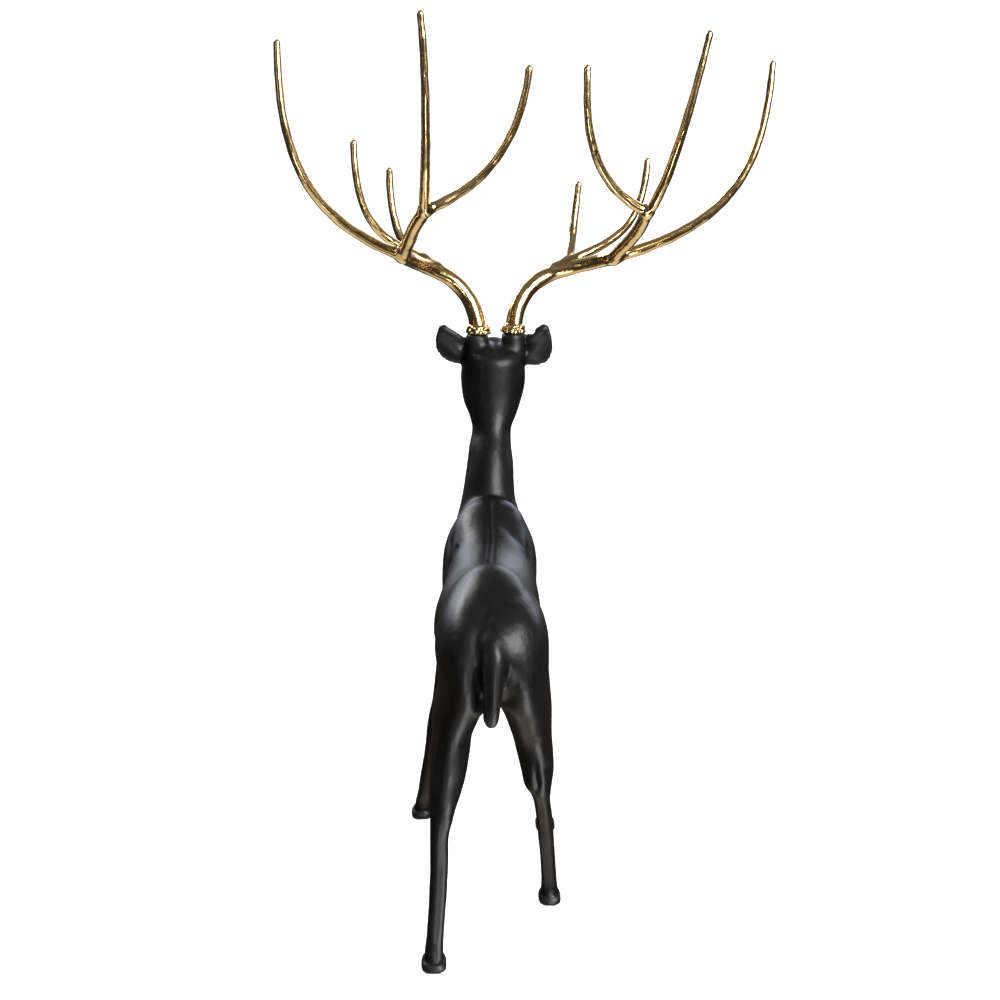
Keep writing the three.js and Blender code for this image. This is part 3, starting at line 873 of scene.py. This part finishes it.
def settled(points, pairs, field, rounds=5):
    """Points drawn onto the field's zero: each round moves each point along the slope by
    the field's value over the slope's square, and all rounds but the last two then even
    the points out along the surface."""
    for turn in range(rounds):
        values = field(points)
        slope = field_slope(field, points, values)
        size = np.maximum(np.sum(slope * slope, axis=1), LEAST_SLOPE_SQUARE)
        step = np.clip(values / size, -LONGEST_STEP, LONGEST_STEP)[:, None] * slope
        points = points - step
        if turn < rounds - 2:
            facing = slope / np.sqrt(size)[:, None]
            drift = EVENING_SHARE * (neighbour_mean(points, pairs) - points)
            points = points + drift - np.sum(drift * facing, axis=1)[:, None] * facing
    return points


def smoothed(points, pairs, places, steps):
    """Points moved by each step in turn, as a share of the way to their neighbours' mean,
    by a bell curve about each place and not at all on the tail."""
    share = np.zeros(len(points))
    for centre, radii, strength in places:
        share = np.maximum(share, lobe(points, centre, radii, strength))
    gap, _ = nearest_on_path(points, np.asarray(TAIL_LINE, float))
    off_tail = np.clip((gap - TAIL_CLEAR) / TAIL_CLEAR, 0, 1)
    share = (np.clip(share, 0, 1) * off_tail)[:, None]
    for step in steps:
        points = points + step * share * (neighbour_mean(points, pairs) - points)
    return points


def outward(mesh, points):
    """The normals of a mesh after its points are put at new places."""
    mesh.vertices.foreach_set("co", points.ravel())
    mesh.update()
    normals = np.empty(len(points) * 3)
    mesh.vertex_normals.foreach_get("vector", normals)
    return normals.reshape(-1, 3)


def skinned(name, shells, voxel):
    """One mesh over all the shells: they are joined and wrapped in even squares."""
    points, faces = joined_shells(shells)
    rough = bpy.data.meshes.new(name + "_shells")
    rough.from_pydata(points.tolist(), [], faces)
    holder = bpy.data.objects.new(name + "_shells", rough)
    bpy.context.collection.objects.link(holder)
    wrap = holder.modifiers.new("Skin", "REMESH")
    wrap.mode = "VOXEL"
    wrap.voxel_size = voxel
    ready = holder.evaluated_get(bpy.context.evaluated_depsgraph_get())
    mesh = bpy.data.meshes.new_from_object(ready)
    bpy.data.objects.remove(holder)
    bpy.data.meshes.remove(rough)
    return mesh


def edge_marks(points, pairs, normals):
    """How far each vertex stands out from its neighbours, smoothed, as a share of the
    greatest: above a half on ridges, below it in hollows."""
    out = np.sum((points - neighbour_mean(points, pairs)) * normals, axis=1)[:, None]
    for _ in range(4):
        out = 0.5 * out + 0.5 * neighbour_mean(out, pairs)
    scale = np.percentile(np.abs(out), 97)
    return np.clip(0.5 + 0.5 * out[:, 0] / scale, 0, 1)


def finished(name, mesh, points, material):
    """The piece's object: its points put into the frame in metres, shaded smooth."""
    normals = outward(mesh, points * MILLIMETRE + frame_place())
    marks = edge_marks(points, mesh_edges(mesh), normals)
    layer = mesh.attributes.new("ridge", "FLOAT", "POINT")
    layer.data.foreach_set("value", marks.astype(np.float32))
    mesh.shade_smooth()
    mesh.name = name
    piece = bpy.data.objects.new(name, mesh)
    bpy.context.collection.objects.link(piece)
    piece.data.materials.clear()
    piece.data.materials.append(material)
    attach(piece, "root")
    return piece


def frame_place():
    """Where the stag's own origin lies in the frame, in metres."""
    low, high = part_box("body")
    return np.array([high[0] - LEFT_HOOF_REACH * MILLIMETRE, low[1] + NOSE_REACH * MILLIMETRE, 0.0])


def ear_shell(side):
    """A plain closed ear: flat ovals along its bent path, across it by the cosine of an
    angle and through it by the sine, blunted to its 0.3rd power."""
    path, part = ear_path(side, 20)
    slope = np.gradient(path, axis=0)
    sideways = np.cross(slope, (0, 1, 0))
    sideways /= np.linalg.norm(sideways, axis=1)[:, None]
    angle = np.linspace(0, 2 * np.pi, 24, endpoint=False)
    half, lower, upper = ear_widths(part[:, :, None], side)
    shift = np.cos(angle)[None, :, None]
    full = np.where(shift * side < 0, lower, upper)
    blunt = np.sign(np.sin(angle)) * np.abs(np.sin(angle)) ** 0.3
    through = ear_hollow(shift, part[:, :, None]) + EAR_THICKNESS / 2 * blunt[None, :, None]
    across = half * shift * full * sideways[:, None, :]
    return tube_shell(path[:, None, :] + across + through * np.array([0, 1, 0]))


def turned_rings(radii, heights, sides):
    """A grid of points: for each radius and height a ring about the Z axis, the radius by
    the cosine and by the sine of the angle."""
    angle = np.linspace(0, 2 * np.pi, sides, endpoint=False)[None, :]
    radius, height = (np.asarray(column, float)[:, None] for column in (radii, heights))
    return np.stack([radius * np.cos(angle), radius * np.sin(angle), height + 0 * angle], axis=-1)


def stump_shell(place):
    """A plain closed stump: a wider ring at its foot and a narrower one at its top, turned
    about the antler's axis."""
    radii = (STUMP_RADIUS + STUMP_FLARE, STUMP_RADIUS)
    grid = turned_rings(radii, (-STUMP_DEPTH, -ANTLER_GAP), 32)
    return tube_shell(grid @ turned(place).T + np.asarray(place["base"], float))


def ball_shell(centre, radius):
    """A closed ball from rings of latitude: a ring's radius is the ball's by the cosine of
    its latitude, and its height is the ball's radius by the sine."""
    lift = np.radians(np.linspace(-85, 85, 14))
    unit = turned_rings(np.cos(lift), np.sin(lift), 24)
    return tube_shell(np.asarray(centre, float) + radius * unit)


def burr_shell():
    """A plain closed burr: a ring's outline turned about the antler's own axis."""
    heights = np.array([0.1, 0.2, 0.3, 0.72, 0.97, 1]) * BURR_HEIGHT
    return tube_shell(turned_rings((10, 17, 19, 18, 15, 8), heights, 40))


def branch_shell(path, start, end, free_tip):
    """A closed round tube along a path, its rings square to it, and a free tip domed by a
    quarter circle of rings."""
    radius = np.linspace(start, end, len(path))
    if free_tip:
        lift = np.radians(np.linspace(15, 80, 5))
        ahead = path[-1] - path[-2]
        ahead /= np.linalg.norm(ahead)
        path = np.vstack([path, path[-1] + end * np.sin(lift)[:, None] * ahead])
        radius = np.concatenate([radius, end * np.cos(lift)])
    slope = np.gradient(path, axis=0)
    slope /= np.linalg.norm(slope, axis=1)[:, None]
    sideways = np.cross(slope, (0.3, 1, 0.1))
    sideways /= np.linalg.norm(sideways, axis=1)[:, None]
    upward = np.cross(slope, sideways)
    angle = np.linspace(0, 2 * np.pi, 20, endpoint=False)[None, :, None]
    ring = np.cos(angle) * sideways[:, None] + np.sin(angle) * upward[:, None]
    return tube_shell(path[:, None, :] + radius[:, None, None] * ring)


def figure_shells():
    """The plain forms of the figure."""
    shells = []
    for name, (_, axis, *_) in STACKS.items():
        shells.append(tube_shell(ring_points(stack_rows(name, SHELL_ROWS), axis)))
    for place in ANTLERS.values():
        side = place["side"]
        shells.append(ear_shell(side))
        shells.append(ball_shell(eye_place(side), EYE_RADIUS))
        shells.append(stump_shell(place))
    return shells


def plain_group(name, inputs, outputs):
    """An empty node group with sockets for plain numbers."""
    group = bpy.data.node_groups.new(name, "ShaderNodeTree")
    for in_out, labels in (("INPUT", inputs), ("OUTPUT", outputs)):
        for label in labels:
            group.interface.new_socket(name=label, in_out=in_out, socket_type="NodeSocketFloat")
    return group


def fed(tree, kind, inputs=(), **settings):
    """A new node with its settings, each input given a plain value or another's output."""
    node = tree.nodes.new(kind)
    for key, value in settings.items():
        setattr(node, key, value)
    for socket, value in dict(inputs).items():
        if isinstance(value, bpy.types.NodeSocket):
            tree.links.new(value, node.inputs[socket])
        else:
            node.inputs[socket].default_value = value
    return node


def worked_out(tree, operation, first, second):
    """The outcome of one sum on two values, each plain or from a node."""
    return fed(tree, "ShaderNodeMath", {0: first, 1: second}, operation=operation).outputs[0]


def mapped(tree, source, start=0.0, end=1.0, low=0.0, high=1.0):
    """A value that goes evenly from low at the start to high at the end, and no further."""
    inputs = {"Value": source, "From Min": start, "From Max": end, "To Min": low, "To Max": high}
    return fed(tree, "ShaderNodeMapRange", inputs, clamp=True).outputs["Result"]


def noise(tree, place, scale, detail, roughness=0.5):
    """Soft noise about a half, at a scale that is plain or from a node."""
    inputs = {"Vector": place, "Scale": scale, "Detail": detail, "Roughness": roughness}
    return fed(tree, "ShaderNodeTexNoise", inputs).outputs["Fac"]


def casting_group():
    """Cast metal skin: slow swells, fine grain and small pits, as one height from 0 to 1."""
    group = plain_group(
        "Casting skin",
        ("Grain size", "Pit size", "Pit share"),
        ("Height",),
    )
    start = group.nodes.new("NodeGroupInput").outputs
    end = group.nodes.new("NodeGroupOutput")
    place = group.nodes.new("ShaderNodeTexCoord").outputs["Object"]
    swell = noise(group, place, 42.0, 2.0)
    grain = noise(group, place, start["Grain size"], 3.0)
    cells = fed(group, "ShaderNodeTexVoronoi", {"Vector": place, "Scale": start["Pit size"]})
    pits = mapped(group, cells.outputs["Distance"], 0.0, 0.42, 1.0, 0.0)
    patch = mapped(group, noise(group, place, 16.0, 2.0), 0.5, 0.68)
    marked = worked_out(group, "MULTIPLY", pits, patch)
    deep = worked_out(group, "MULTIPLY", marked, start["Pit share"])
    both = worked_out(group, "ADD", swell, grain)
    height = worked_out(group, "SUBTRACT", worked_out(group, "MULTIPLY", both, 0.5), deep)
    group.links.new(height, end.inputs["Height"])
    return group


def uneven_group():
    """Handling and hollow shade: a slow mask, from 0 to 1, of where a surface is duller, and a mask of the
    ridges from the skin's own ridge values, which on the paint marks the ridges that hands and cloths have
    rubbed and on the gilt is the edge of the painted shade in its hollows."""
    group = plain_group(
        "Handling and hollow shade",
        ("Patch size", "Rub and shade from"),
        ("Dull", "Rubbed and out of shade"),
    )
    start = group.nodes.new("NodeGroupInput").outputs
    end = group.nodes.new("NodeGroupOutput")
    place = group.nodes.new("ShaderNodeTexCoord").outputs["Object"]
    slow = noise(group, place, start["Patch size"], 4.0, 0.6)
    group.links.new(mapped(group, slow, 0.35, 0.7), end.inputs["Dull"])
    # The ridge mask: rubbed ridges on the paint, and the edge of the painted shade in the gilt's hollows
    group.links.new(mapped(group, ridge_mark(group), start["Rub and shade from"]), end.inputs["Rubbed and out of shade"])
    return group


def ridge_mark(tree):
    """The skin's own ridge values, from 0 in hollows to 1 on ridges."""
    return fed(tree, "ShaderNodeAttribute", attribute_name="ridge").outputs["Fac"]


def used_group(tree, name, make, values):
    """The outputs of a shared node group, made once, with this material's own values."""
    shared = bpy.data.node_groups.get(name) or make()
    return fed(tree, "ShaderNodeGroup", values, node_tree=shared).outputs


def cast_material(name, skin, handling_and_shade, colours, dullness, bump):
    """A cast finish. Skin and handling_and_shade are the values of the two groups, the colours are the one
    for hollows and flats and the one for ridges, where the paint is rubbed on the ridges and the gilt has
    painted shade in the hollows, dullness is the roughness from shiny to dull patches, and bump is the
    strength and depth of the skin's unevenness."""
    material = bpy.data.materials.new(name)
    material.use_nodes = True
    tree = material.node_tree
    surface = tree.nodes["Principled BSDF"]
    height = used_group(tree, "Casting skin", casting_group, skin)["Height"]
    hands_and_shade = used_group(tree, "Handling and hollow shade", uneven_group, handling_and_shade)
    plain, rubbed = ((*colour, 1) for colour in colours)
    # On the gilt the first colour is painted shade in the hollows; on the paint the second colour is rubbed
    # wear on the ridges
    colour = fed(tree, "ShaderNodeMix", {0: hands_and_shade["Rubbed and out of shade"]}, data_type="RGBA")
    colour.inputs[6].default_value = plain
    colour.inputs[7].default_value = rubbed
    tree.links.new(colour.outputs[2], surface.inputs["Base Color"])
    roughness = mapped(tree, hands_and_shade["Dull"], 0.0, 1.0, *dullness)
    tree.links.new(roughness, surface.inputs["Roughness"])
    strength, depth = bump
    inputs = {"Strength": strength, "Distance": depth, "Height": height}
    normal = fed(tree, "ShaderNodeBump", inputs).outputs["Normal"]
    tree.links.new(normal, surface.inputs["Normal"])
    return material


def black_paint(finish):
    """Satin black paint over cast metal: near black, a little browner on the rubbed ridges, its reflections
    turned down in the hollows as painted shade, with a thin gloss coat over the grain of the casting."""
    material = cast_material(
        "black_paint",
        skin={"Grain size": 330.0, "Pit size": 210.0, "Pit share": 0.5},
        handling_and_shade={"Patch size": 7.0, "Rub and shade from": 0.7},
        colours=(finish.paint_colour, finish.paint_rub_colour),
        dullness=(0.34, 0.48),
        bump=(0.35, 0.0012),
    )
    tree = material.node_tree
    surface = tree.nodes["Principled BSDF"]
    surface.inputs["Coat Weight"].default_value = 0.05
    surface.inputs["Coat Roughness"].default_value = 0.16
    # Painted shade: the paint's reflections are turned down in the hollows, by the skin's ridge values
    shine_shaded_in_hollows = mapped(tree, ridge_mark(tree), 0.12, 0.42, 0.05, 0.3)
    tree.links.new(shine_shaded_in_hollows, surface.inputs["Specular IOR Level"])
    return material


def gilt_metal(finish):
    """Gold-coloured plating, polished by hand: darker and browner in the hollows as painted shade, rougher
    in slow dull patches, and bright on the rubbed ridges."""
    material = cast_material(
        "gilt_metal",
        skin={"Grain size": 420.0, "Pit size": 260.0, "Pit share": 0.6},
        handling_and_shade={"Patch size": 22.0, "Rub and shade from": 0.45},
        colours=(finish.gilt_hollow_shade_colour, finish.gilt_colour),
        dullness=(0.13, 0.25),
        bump=(0.12, 0.0006),
    )
    material.node_tree.nodes["Principled BSDF"].inputs["Metallic"].default_value = 1.0
    return material


class StagFigureSizes(bpy.types.PropertyGroup):
    """Sizes of the black figure."""
    poll_height: FloatProperty(
        name="Poll height", description="Height of the poll above the soles", default=0.738, unit="LENGTH")
    furrow_depth: FloatProperty(
        name="Spine furrow", description="Depth of the furrow over the croup", default=0.007, unit="LENGTH")
    skin_step: FloatProperty(
        name="Skin step", description="Size of the squares of the figure's skin",
        default=0.0029, unit="LENGTH")


class StagAntlerSizes(bpy.types.PropertyGroup):
    """Sizes of the two gilt antlers."""
    rise: FloatProperty(
        name="Rise", description="Height of an antler above its burr", default=0.448, unit="LENGTH")
    skin_step: FloatProperty(
        name="Skin step", description="Size of the squares of an antler's skin",
        default=0.0015, unit="LENGTH")


class StagFinishes(bpy.types.PropertyGroup):
    """Colours of the two finishes."""
    paint_colour: FloatVectorProperty(
        name="Paint", description="The black paint", subtype="COLOR", default=(0.0022, 0.0021, 0.0022))
    paint_rub_colour: FloatVectorProperty(
        name="Rubbed paint", description="The paint where hands have rubbed it", subtype="COLOR",
        default=(0.007, 0.0062, 0.0056))
    gilt_colour: FloatVectorProperty(
        name="Gilt", description="The polished gold-coloured metal", subtype="COLOR",
        default=(0.9, 0.67, 0.355))
    # Painted shade: the darker, browner gilt that is put in the antlers' hollows
    gilt_hollow_shade_colour: FloatVectorProperty(
        name="Gilt in hollows", description="The same metal where polish doesn't reach", subtype="COLOR",
        default=(0.5, 0.32, 0.13))


class StagStageSettings(bpy.types.PropertyGroup):
    """Colours and light of the plain stage."""
    floor_colour: FloatVectorProperty(
        name="Floor", description="The pale floor and the sweep behind it", subtype="COLOR",
        default=(0.86, 0.86, 0.86))
    lamp_strength: FloatProperty(
        name="Lamp strength", description="Share of the usual power of every lamp", default=1.0)


class STAG_OT_figure(bpy.types.Operator):
    """Make the black figure: head, ears, neck, trunk, tail, legs and hooves"""
    bl_idname = "stag.figure"
    bl_label = "Cast the figure"

    def execute(self, context):
        sizes = context.scene.stag_figure
        scale = sizes.poll_height / (DRAWN_POLL * MILLIMETRE)
        depth = sizes.furrow_depth / MILLIMETRE
        mesh = skinned("body_skin", figure_shells(), sizes.skin_step / MILLIMETRE)
        pairs = mesh_edges(mesh)
        points = settled(mesh_points(mesh), pairs, figure_field)
        points = points + outward(mesh, points) * figure_swellings(points)[:, None]
        points = smoothed(points, pairs, SOFT_PLACES, SOFT_STEPS)
        points = smoothed(points, pairs, CALM_PLACES, CALM_STEPS)
        on_sole = points[:, 2] < ON_SOLE
        points = points + outward(mesh, points) * figure_relief(points, depth)[:, None]
        points[:, 2] = np.where(on_sole, 0, np.maximum(points[:, 2], 0))
        material = black_paint(context.scene.stag_finish)
        piece = finished("stag_figure", mesh, points * scale, material)
        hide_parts("body")
        return {"FINISHED"}


class STAG_OT_antlers(bpy.types.Operator):
    """Make the two gilt antlers, each with its beaded burr"""
    bl_idname = "stag.antlers"
    bl_label = "Cast the antlers"

    def execute(self, context):
        sizes = context.scene.stag_antlers
        material = gilt_metal(context.scene.stag_finish)
        for number, (name, place) in enumerate(ANTLERS.items()):
            branches = antler_branches(place, sizes.rise / (DRAWN_RISE * MILLIMETRE))
            seed = 11 + 10 * number
            shells = [branch_shell(*branch) for branch in branches]
            shells.append(ball_shell((0, 0, BURR_HEIGHT / 2), BURR_HEIGHT / 2))
            shells.append(burr_shell())
            mesh = skinned(name + "_skin", shells, sizes.skin_step / MILLIMETRE)
            points = settled(
                mesh_points(mesh), mesh_edges(mesh), lambda places: antler_field(places, branches, seed))
            points = points @ turned(place).T + np.asarray(place["base"], float)
            piece = finished("stag_" + name, mesh, points, material)
            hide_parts(name)
        return {"FINISHED"}


# The camera: behind the stag and a little to its left, in metres from the stag's origin
CAMERA_PLACE = (0.0703, 2.5028, 1.181)
CAMERA_DIRECTION = (-0.0339, -0.9697, -0.2419)
CAMERA_LENS = 68.4
CAMERA_SENSOR = 36.0

# Lamps: place from the stag's origin, what each looks at, width, height and power
LAMPS = (
    ("lamp_rear_right", (-1.45, 1.75, 1.7), (0.0, 0.15, 0.42), 1.7, 1.8, 138),
    ("lamp_low_right", (-2.1, 1.5, 0.7), (0.0, 0.1, 0.5), 0.3, 1.5, 3),
    ("lamp_far_left", (2.15, -2.1, 2.6), (0.0, 0.0, 0.46), 1.4, 1.3, 56),
    ("lamp_low_left", (1.9, 1.9, 1.0), (0.0, 0.1, 0.6), 0.2, 1.2, 2),
    ("lamp_floor_right", (-0.19, 0.43, 0.006), (-0.06, 0.18, 0.26), 0.25, 0.3, 1.5),
    ("lamp_floor_rear", (-0.1, 1.45, 0.006), (0.0, 0.25, 0.38), 0.25, 0.5, 4),
)


def sweep_mesh(low, half_width, front, back, rise, bend):
    """The stage: a flat floor that turns up into a wall by a quarter circle."""
    turn = np.radians(np.linspace(0, 90, 24))
    curve = np.stack([-back - bend * np.sin(turn), low + bend * (1 - np.cos(turn))], axis=1)
    profile = np.vstack([[front, low], curve, [-back - bend, low + rise]])
    sides = np.array([-half_width, half_width])
    grid = np.stack([
        np.broadcast_to(sides[None, :], (len(profile), 2)),
        np.broadcast_to(profile[:, :1], (len(profile), 2)),
        np.broadcast_to(profile[:, 1:], (len(profile), 2)),
    ], axis=-1)
    row = np.arange(len(profile) - 1)[:, None] * 2
    faces = row + np.array([0, 1, 3, 2])
    mesh = bpy.data.meshes.new("stage_sweep")
    mesh.from_pydata(grid.reshape(-1, 3).tolist(), [], faces.tolist())
    mesh.shade_smooth()
    return mesh


def stage_material(colour):
    """Plain pale matt sheet."""
    material = bpy.data.materials.new("stage_sheet")
    material.use_nodes = True
    inputs = material.node_tree.nodes["Principled BSDF"].inputs
    inputs["Base Color"].default_value = (*colour, 1)
    inputs["Roughness"].default_value = 0.9
    inputs["Specular IOR Level"].default_value = 0.1
    inputs["Emission Color"].default_value = (1, 1, 1, 1)
    inputs["Emission Strength"].default_value = 0.7
    return material


ROOM_OVERHEAD = (0.2, 0.2, 0.208)
ROOM_REAR = (0.11, 0.107, 0.1)
ROOM_LEFT = (0.025, 0.023, 0.02)
ROOM_FLOOR = (0.05, 0.042, 0.034)
ROOM_UNDERFOOT = (1.0, 0.96, 0.88)
ROOM_SHEET = (2.5, 2.6, 3.0)


def faded(tree, *fades):
    """A mask: for each source, a smooth rise from 0 at its start to 1 at its end, all
    multiplied."""
    mask = None
    for source, start, end in fades:
        node = fed(tree, "ShaderNodeMapRange", {"Value": source, "From Min": start, "From Max": end})
        node.interpolation_type = "SMOOTHSTEP"
        rise = node.outputs["Result"]
        mask = rise if mask is None else worked_out(tree, "MULTIPLY", mask, rise)
    return mask


def soft_world():
    """The room round the stage: dim overhead and dark to the left, a warm pale floor, a
    soft glow behind the camera, and a pale cool sheet behind the stag with a gap in its
    middle. The camera itself sees plain white."""
    world = bpy.data.worlds.new("studio")
    world.use_nodes = True
    tree = world.node_tree
    place = tree.nodes.new("ShaderNodeTexCoord").outputs["Generated"]
    across, along, height = fed(tree, "ShaderNodeSeparateXYZ", {0: place}).outputs
    aside = fed(tree, "ShaderNodeMath", {0: across}, operation="ABSOLUTE").outputs[0]
    layers = (
        (ROOM_REAR, (along, -0.1, 0.7), (height, 0.6, 0.3)),
        (ROOM_LEFT, (across, 0.5, 0.72), (along, -0.86, -0.66), (height, 0.85, 0.6)),
        (ROOM_FLOOR, (height, 0.02, -0.12)),
        (ROOM_UNDERFOOT, (height, -0.68, -0.9)),
        (
            ROOM_SHEET,
            (along, -0.5, -0.8),
            (height, 0.04, 0.16),
            (height, 0.66, 0.44),
            (across, 0.74, 0.5),
            (aside, 0.05, 0.2),
        ),
    )
    under = tree.nodes.new("ShaderNodeRGB").outputs[0]
    under.default_value = (*ROOM_OVERHEAD, 1)
    masks = [(colour, faded(tree, *fades)) for colour, *fades in layers]
    seen = tree.nodes.new("ShaderNodeLightPath").outputs["Is Camera Ray"]
    for colour, mask in (*masks, ((1.0, 1.0, 1.0), seen)):
        node = fed(tree, "ShaderNodeMix", {0: mask}, data_type="RGBA")
        tree.links.new(under, node.inputs[6])
        node.inputs[7].default_value = (*colour, 1)
        under = node.outputs[2]
    tree.links.new(under, tree.nodes["Background"].inputs["Color"])
    bpy.context.scene.world = world


class STAG_OT_stage(bpy.types.Operator):
    """Set the pale floor, the soft lamps and the camera"""
    bl_idname = "stag.stage"
    bl_label = "Set the stage"

    def execute(self, context):
        settings = context.scene.stag_stage
        origin = frame_place()
        mesh = sweep_mesh(low=0.0, half_width=7.0, front=7.0, back=3.2, rise=4.5, bend=1.5)
        sweep = bpy.data.objects.new("stage_sweep", mesh)
        context.collection.objects.link(sweep)
        sweep.data.materials.append(stage_material(settings.floor_colour))
        sweep.visible_glossy = False
        soft_world()
        for name, place, target, width, height, power in LAMPS:
            lamp = bpy.data.lights.new(name, "AREA")
            lamp.shape = "RECTANGLE"
            lamp.size = width
            lamp.size_y = height
            lamp.energy = power * settings.lamp_strength
            holder = bpy.data.objects.new(name, lamp)
            holder.location = Vector(place) + Vector(origin)
            facing = Vector(target) - Vector(place)
            holder.rotation_euler = facing.to_track_quat("-Z", "Y").to_euler()
            holder.visible_camera = False
            context.collection.objects.link(holder)
        camera = bpy.data.cameras.new("camera")
        camera.lens = CAMERA_LENS
        camera.sensor_width = CAMERA_SENSOR
        camera.clip_end = 100.0
        holder = bpy.data.objects.new("camera", camera)
        holder.location = Vector(CAMERA_PLACE) + Vector(origin)
        holder.rotation_euler = Vector(CAMERA_DIRECTION).to_track_quat("-Z", "Y").to_euler()
        context.collection.objects.link(holder)
        context.scene.camera = holder
        context.scene.view_settings.view_transform = "Standard"
        return {"FINISHED"}


class STAG_PT_maker(bpy.types.Panel):
    """Lists what the add-on makes"""
    bl_label = "Walking stag"
    bl_idname = "STAG_PT_maker"
    bl_space_type = "VIEW_3D"
    bl_region_type = "UI"
    bl_category = "Stag"

    def draw(self, context):
        layout = self.layout
        groups = (
            (context.scene.stag_figure, "stag.figure"),
            (context.scene.stag_antlers, "stag.antlers"),
            (context.scene.stag_finish, None),
            (context.scene.stag_stage, "stag.stage"),
        )
        for group, action in groups:
            box = layout.box()
            for name in group.__annotations__:
                box.prop(group, name)
            if action:
                box.operator(action)


CLASSES = (
    StagFigureSizes,
    StagAntlerSizes,
    StagFinishes,
    StagStageSettings,
    STAG_OT_figure,
    STAG_OT_antlers,
    STAG_OT_stage,
    STAG_PT_maker,
)


def register():
    """Adds the classes, and their settings to the scene."""
    for item in CLASSES:
        bpy.utils.register_class(item)
    bpy.types.Scene.stag_figure = PointerProperty(type=StagFigureSizes)
    bpy.types.Scene.stag_antlers = PointerProperty(type=StagAntlerSizes)
    bpy.types.Scene.stag_finish = PointerProperty(type=StagFinishes)
    bpy.types.Scene.stag_stage = PointerProperty(type=StagStageSettings)


def unregister():
    """Takes the settings and the classes away again."""
    del bpy.types.Scene.stag_stage
    del bpy.types.Scene.stag_finish
    del bpy.types.Scene.stag_antlers
    del bpy.types.Scene.stag_figure
    for item in reversed(CLASSES):
        bpy.utils.unregister_class(item)


def main():
    """Makes every piece and the stage."""
    register()
    bpy.ops.stag.figure()
    bpy.ops.stag.antlers()
    bpy.ops.stag.stage()


if __name__ == "__main__":
    main()
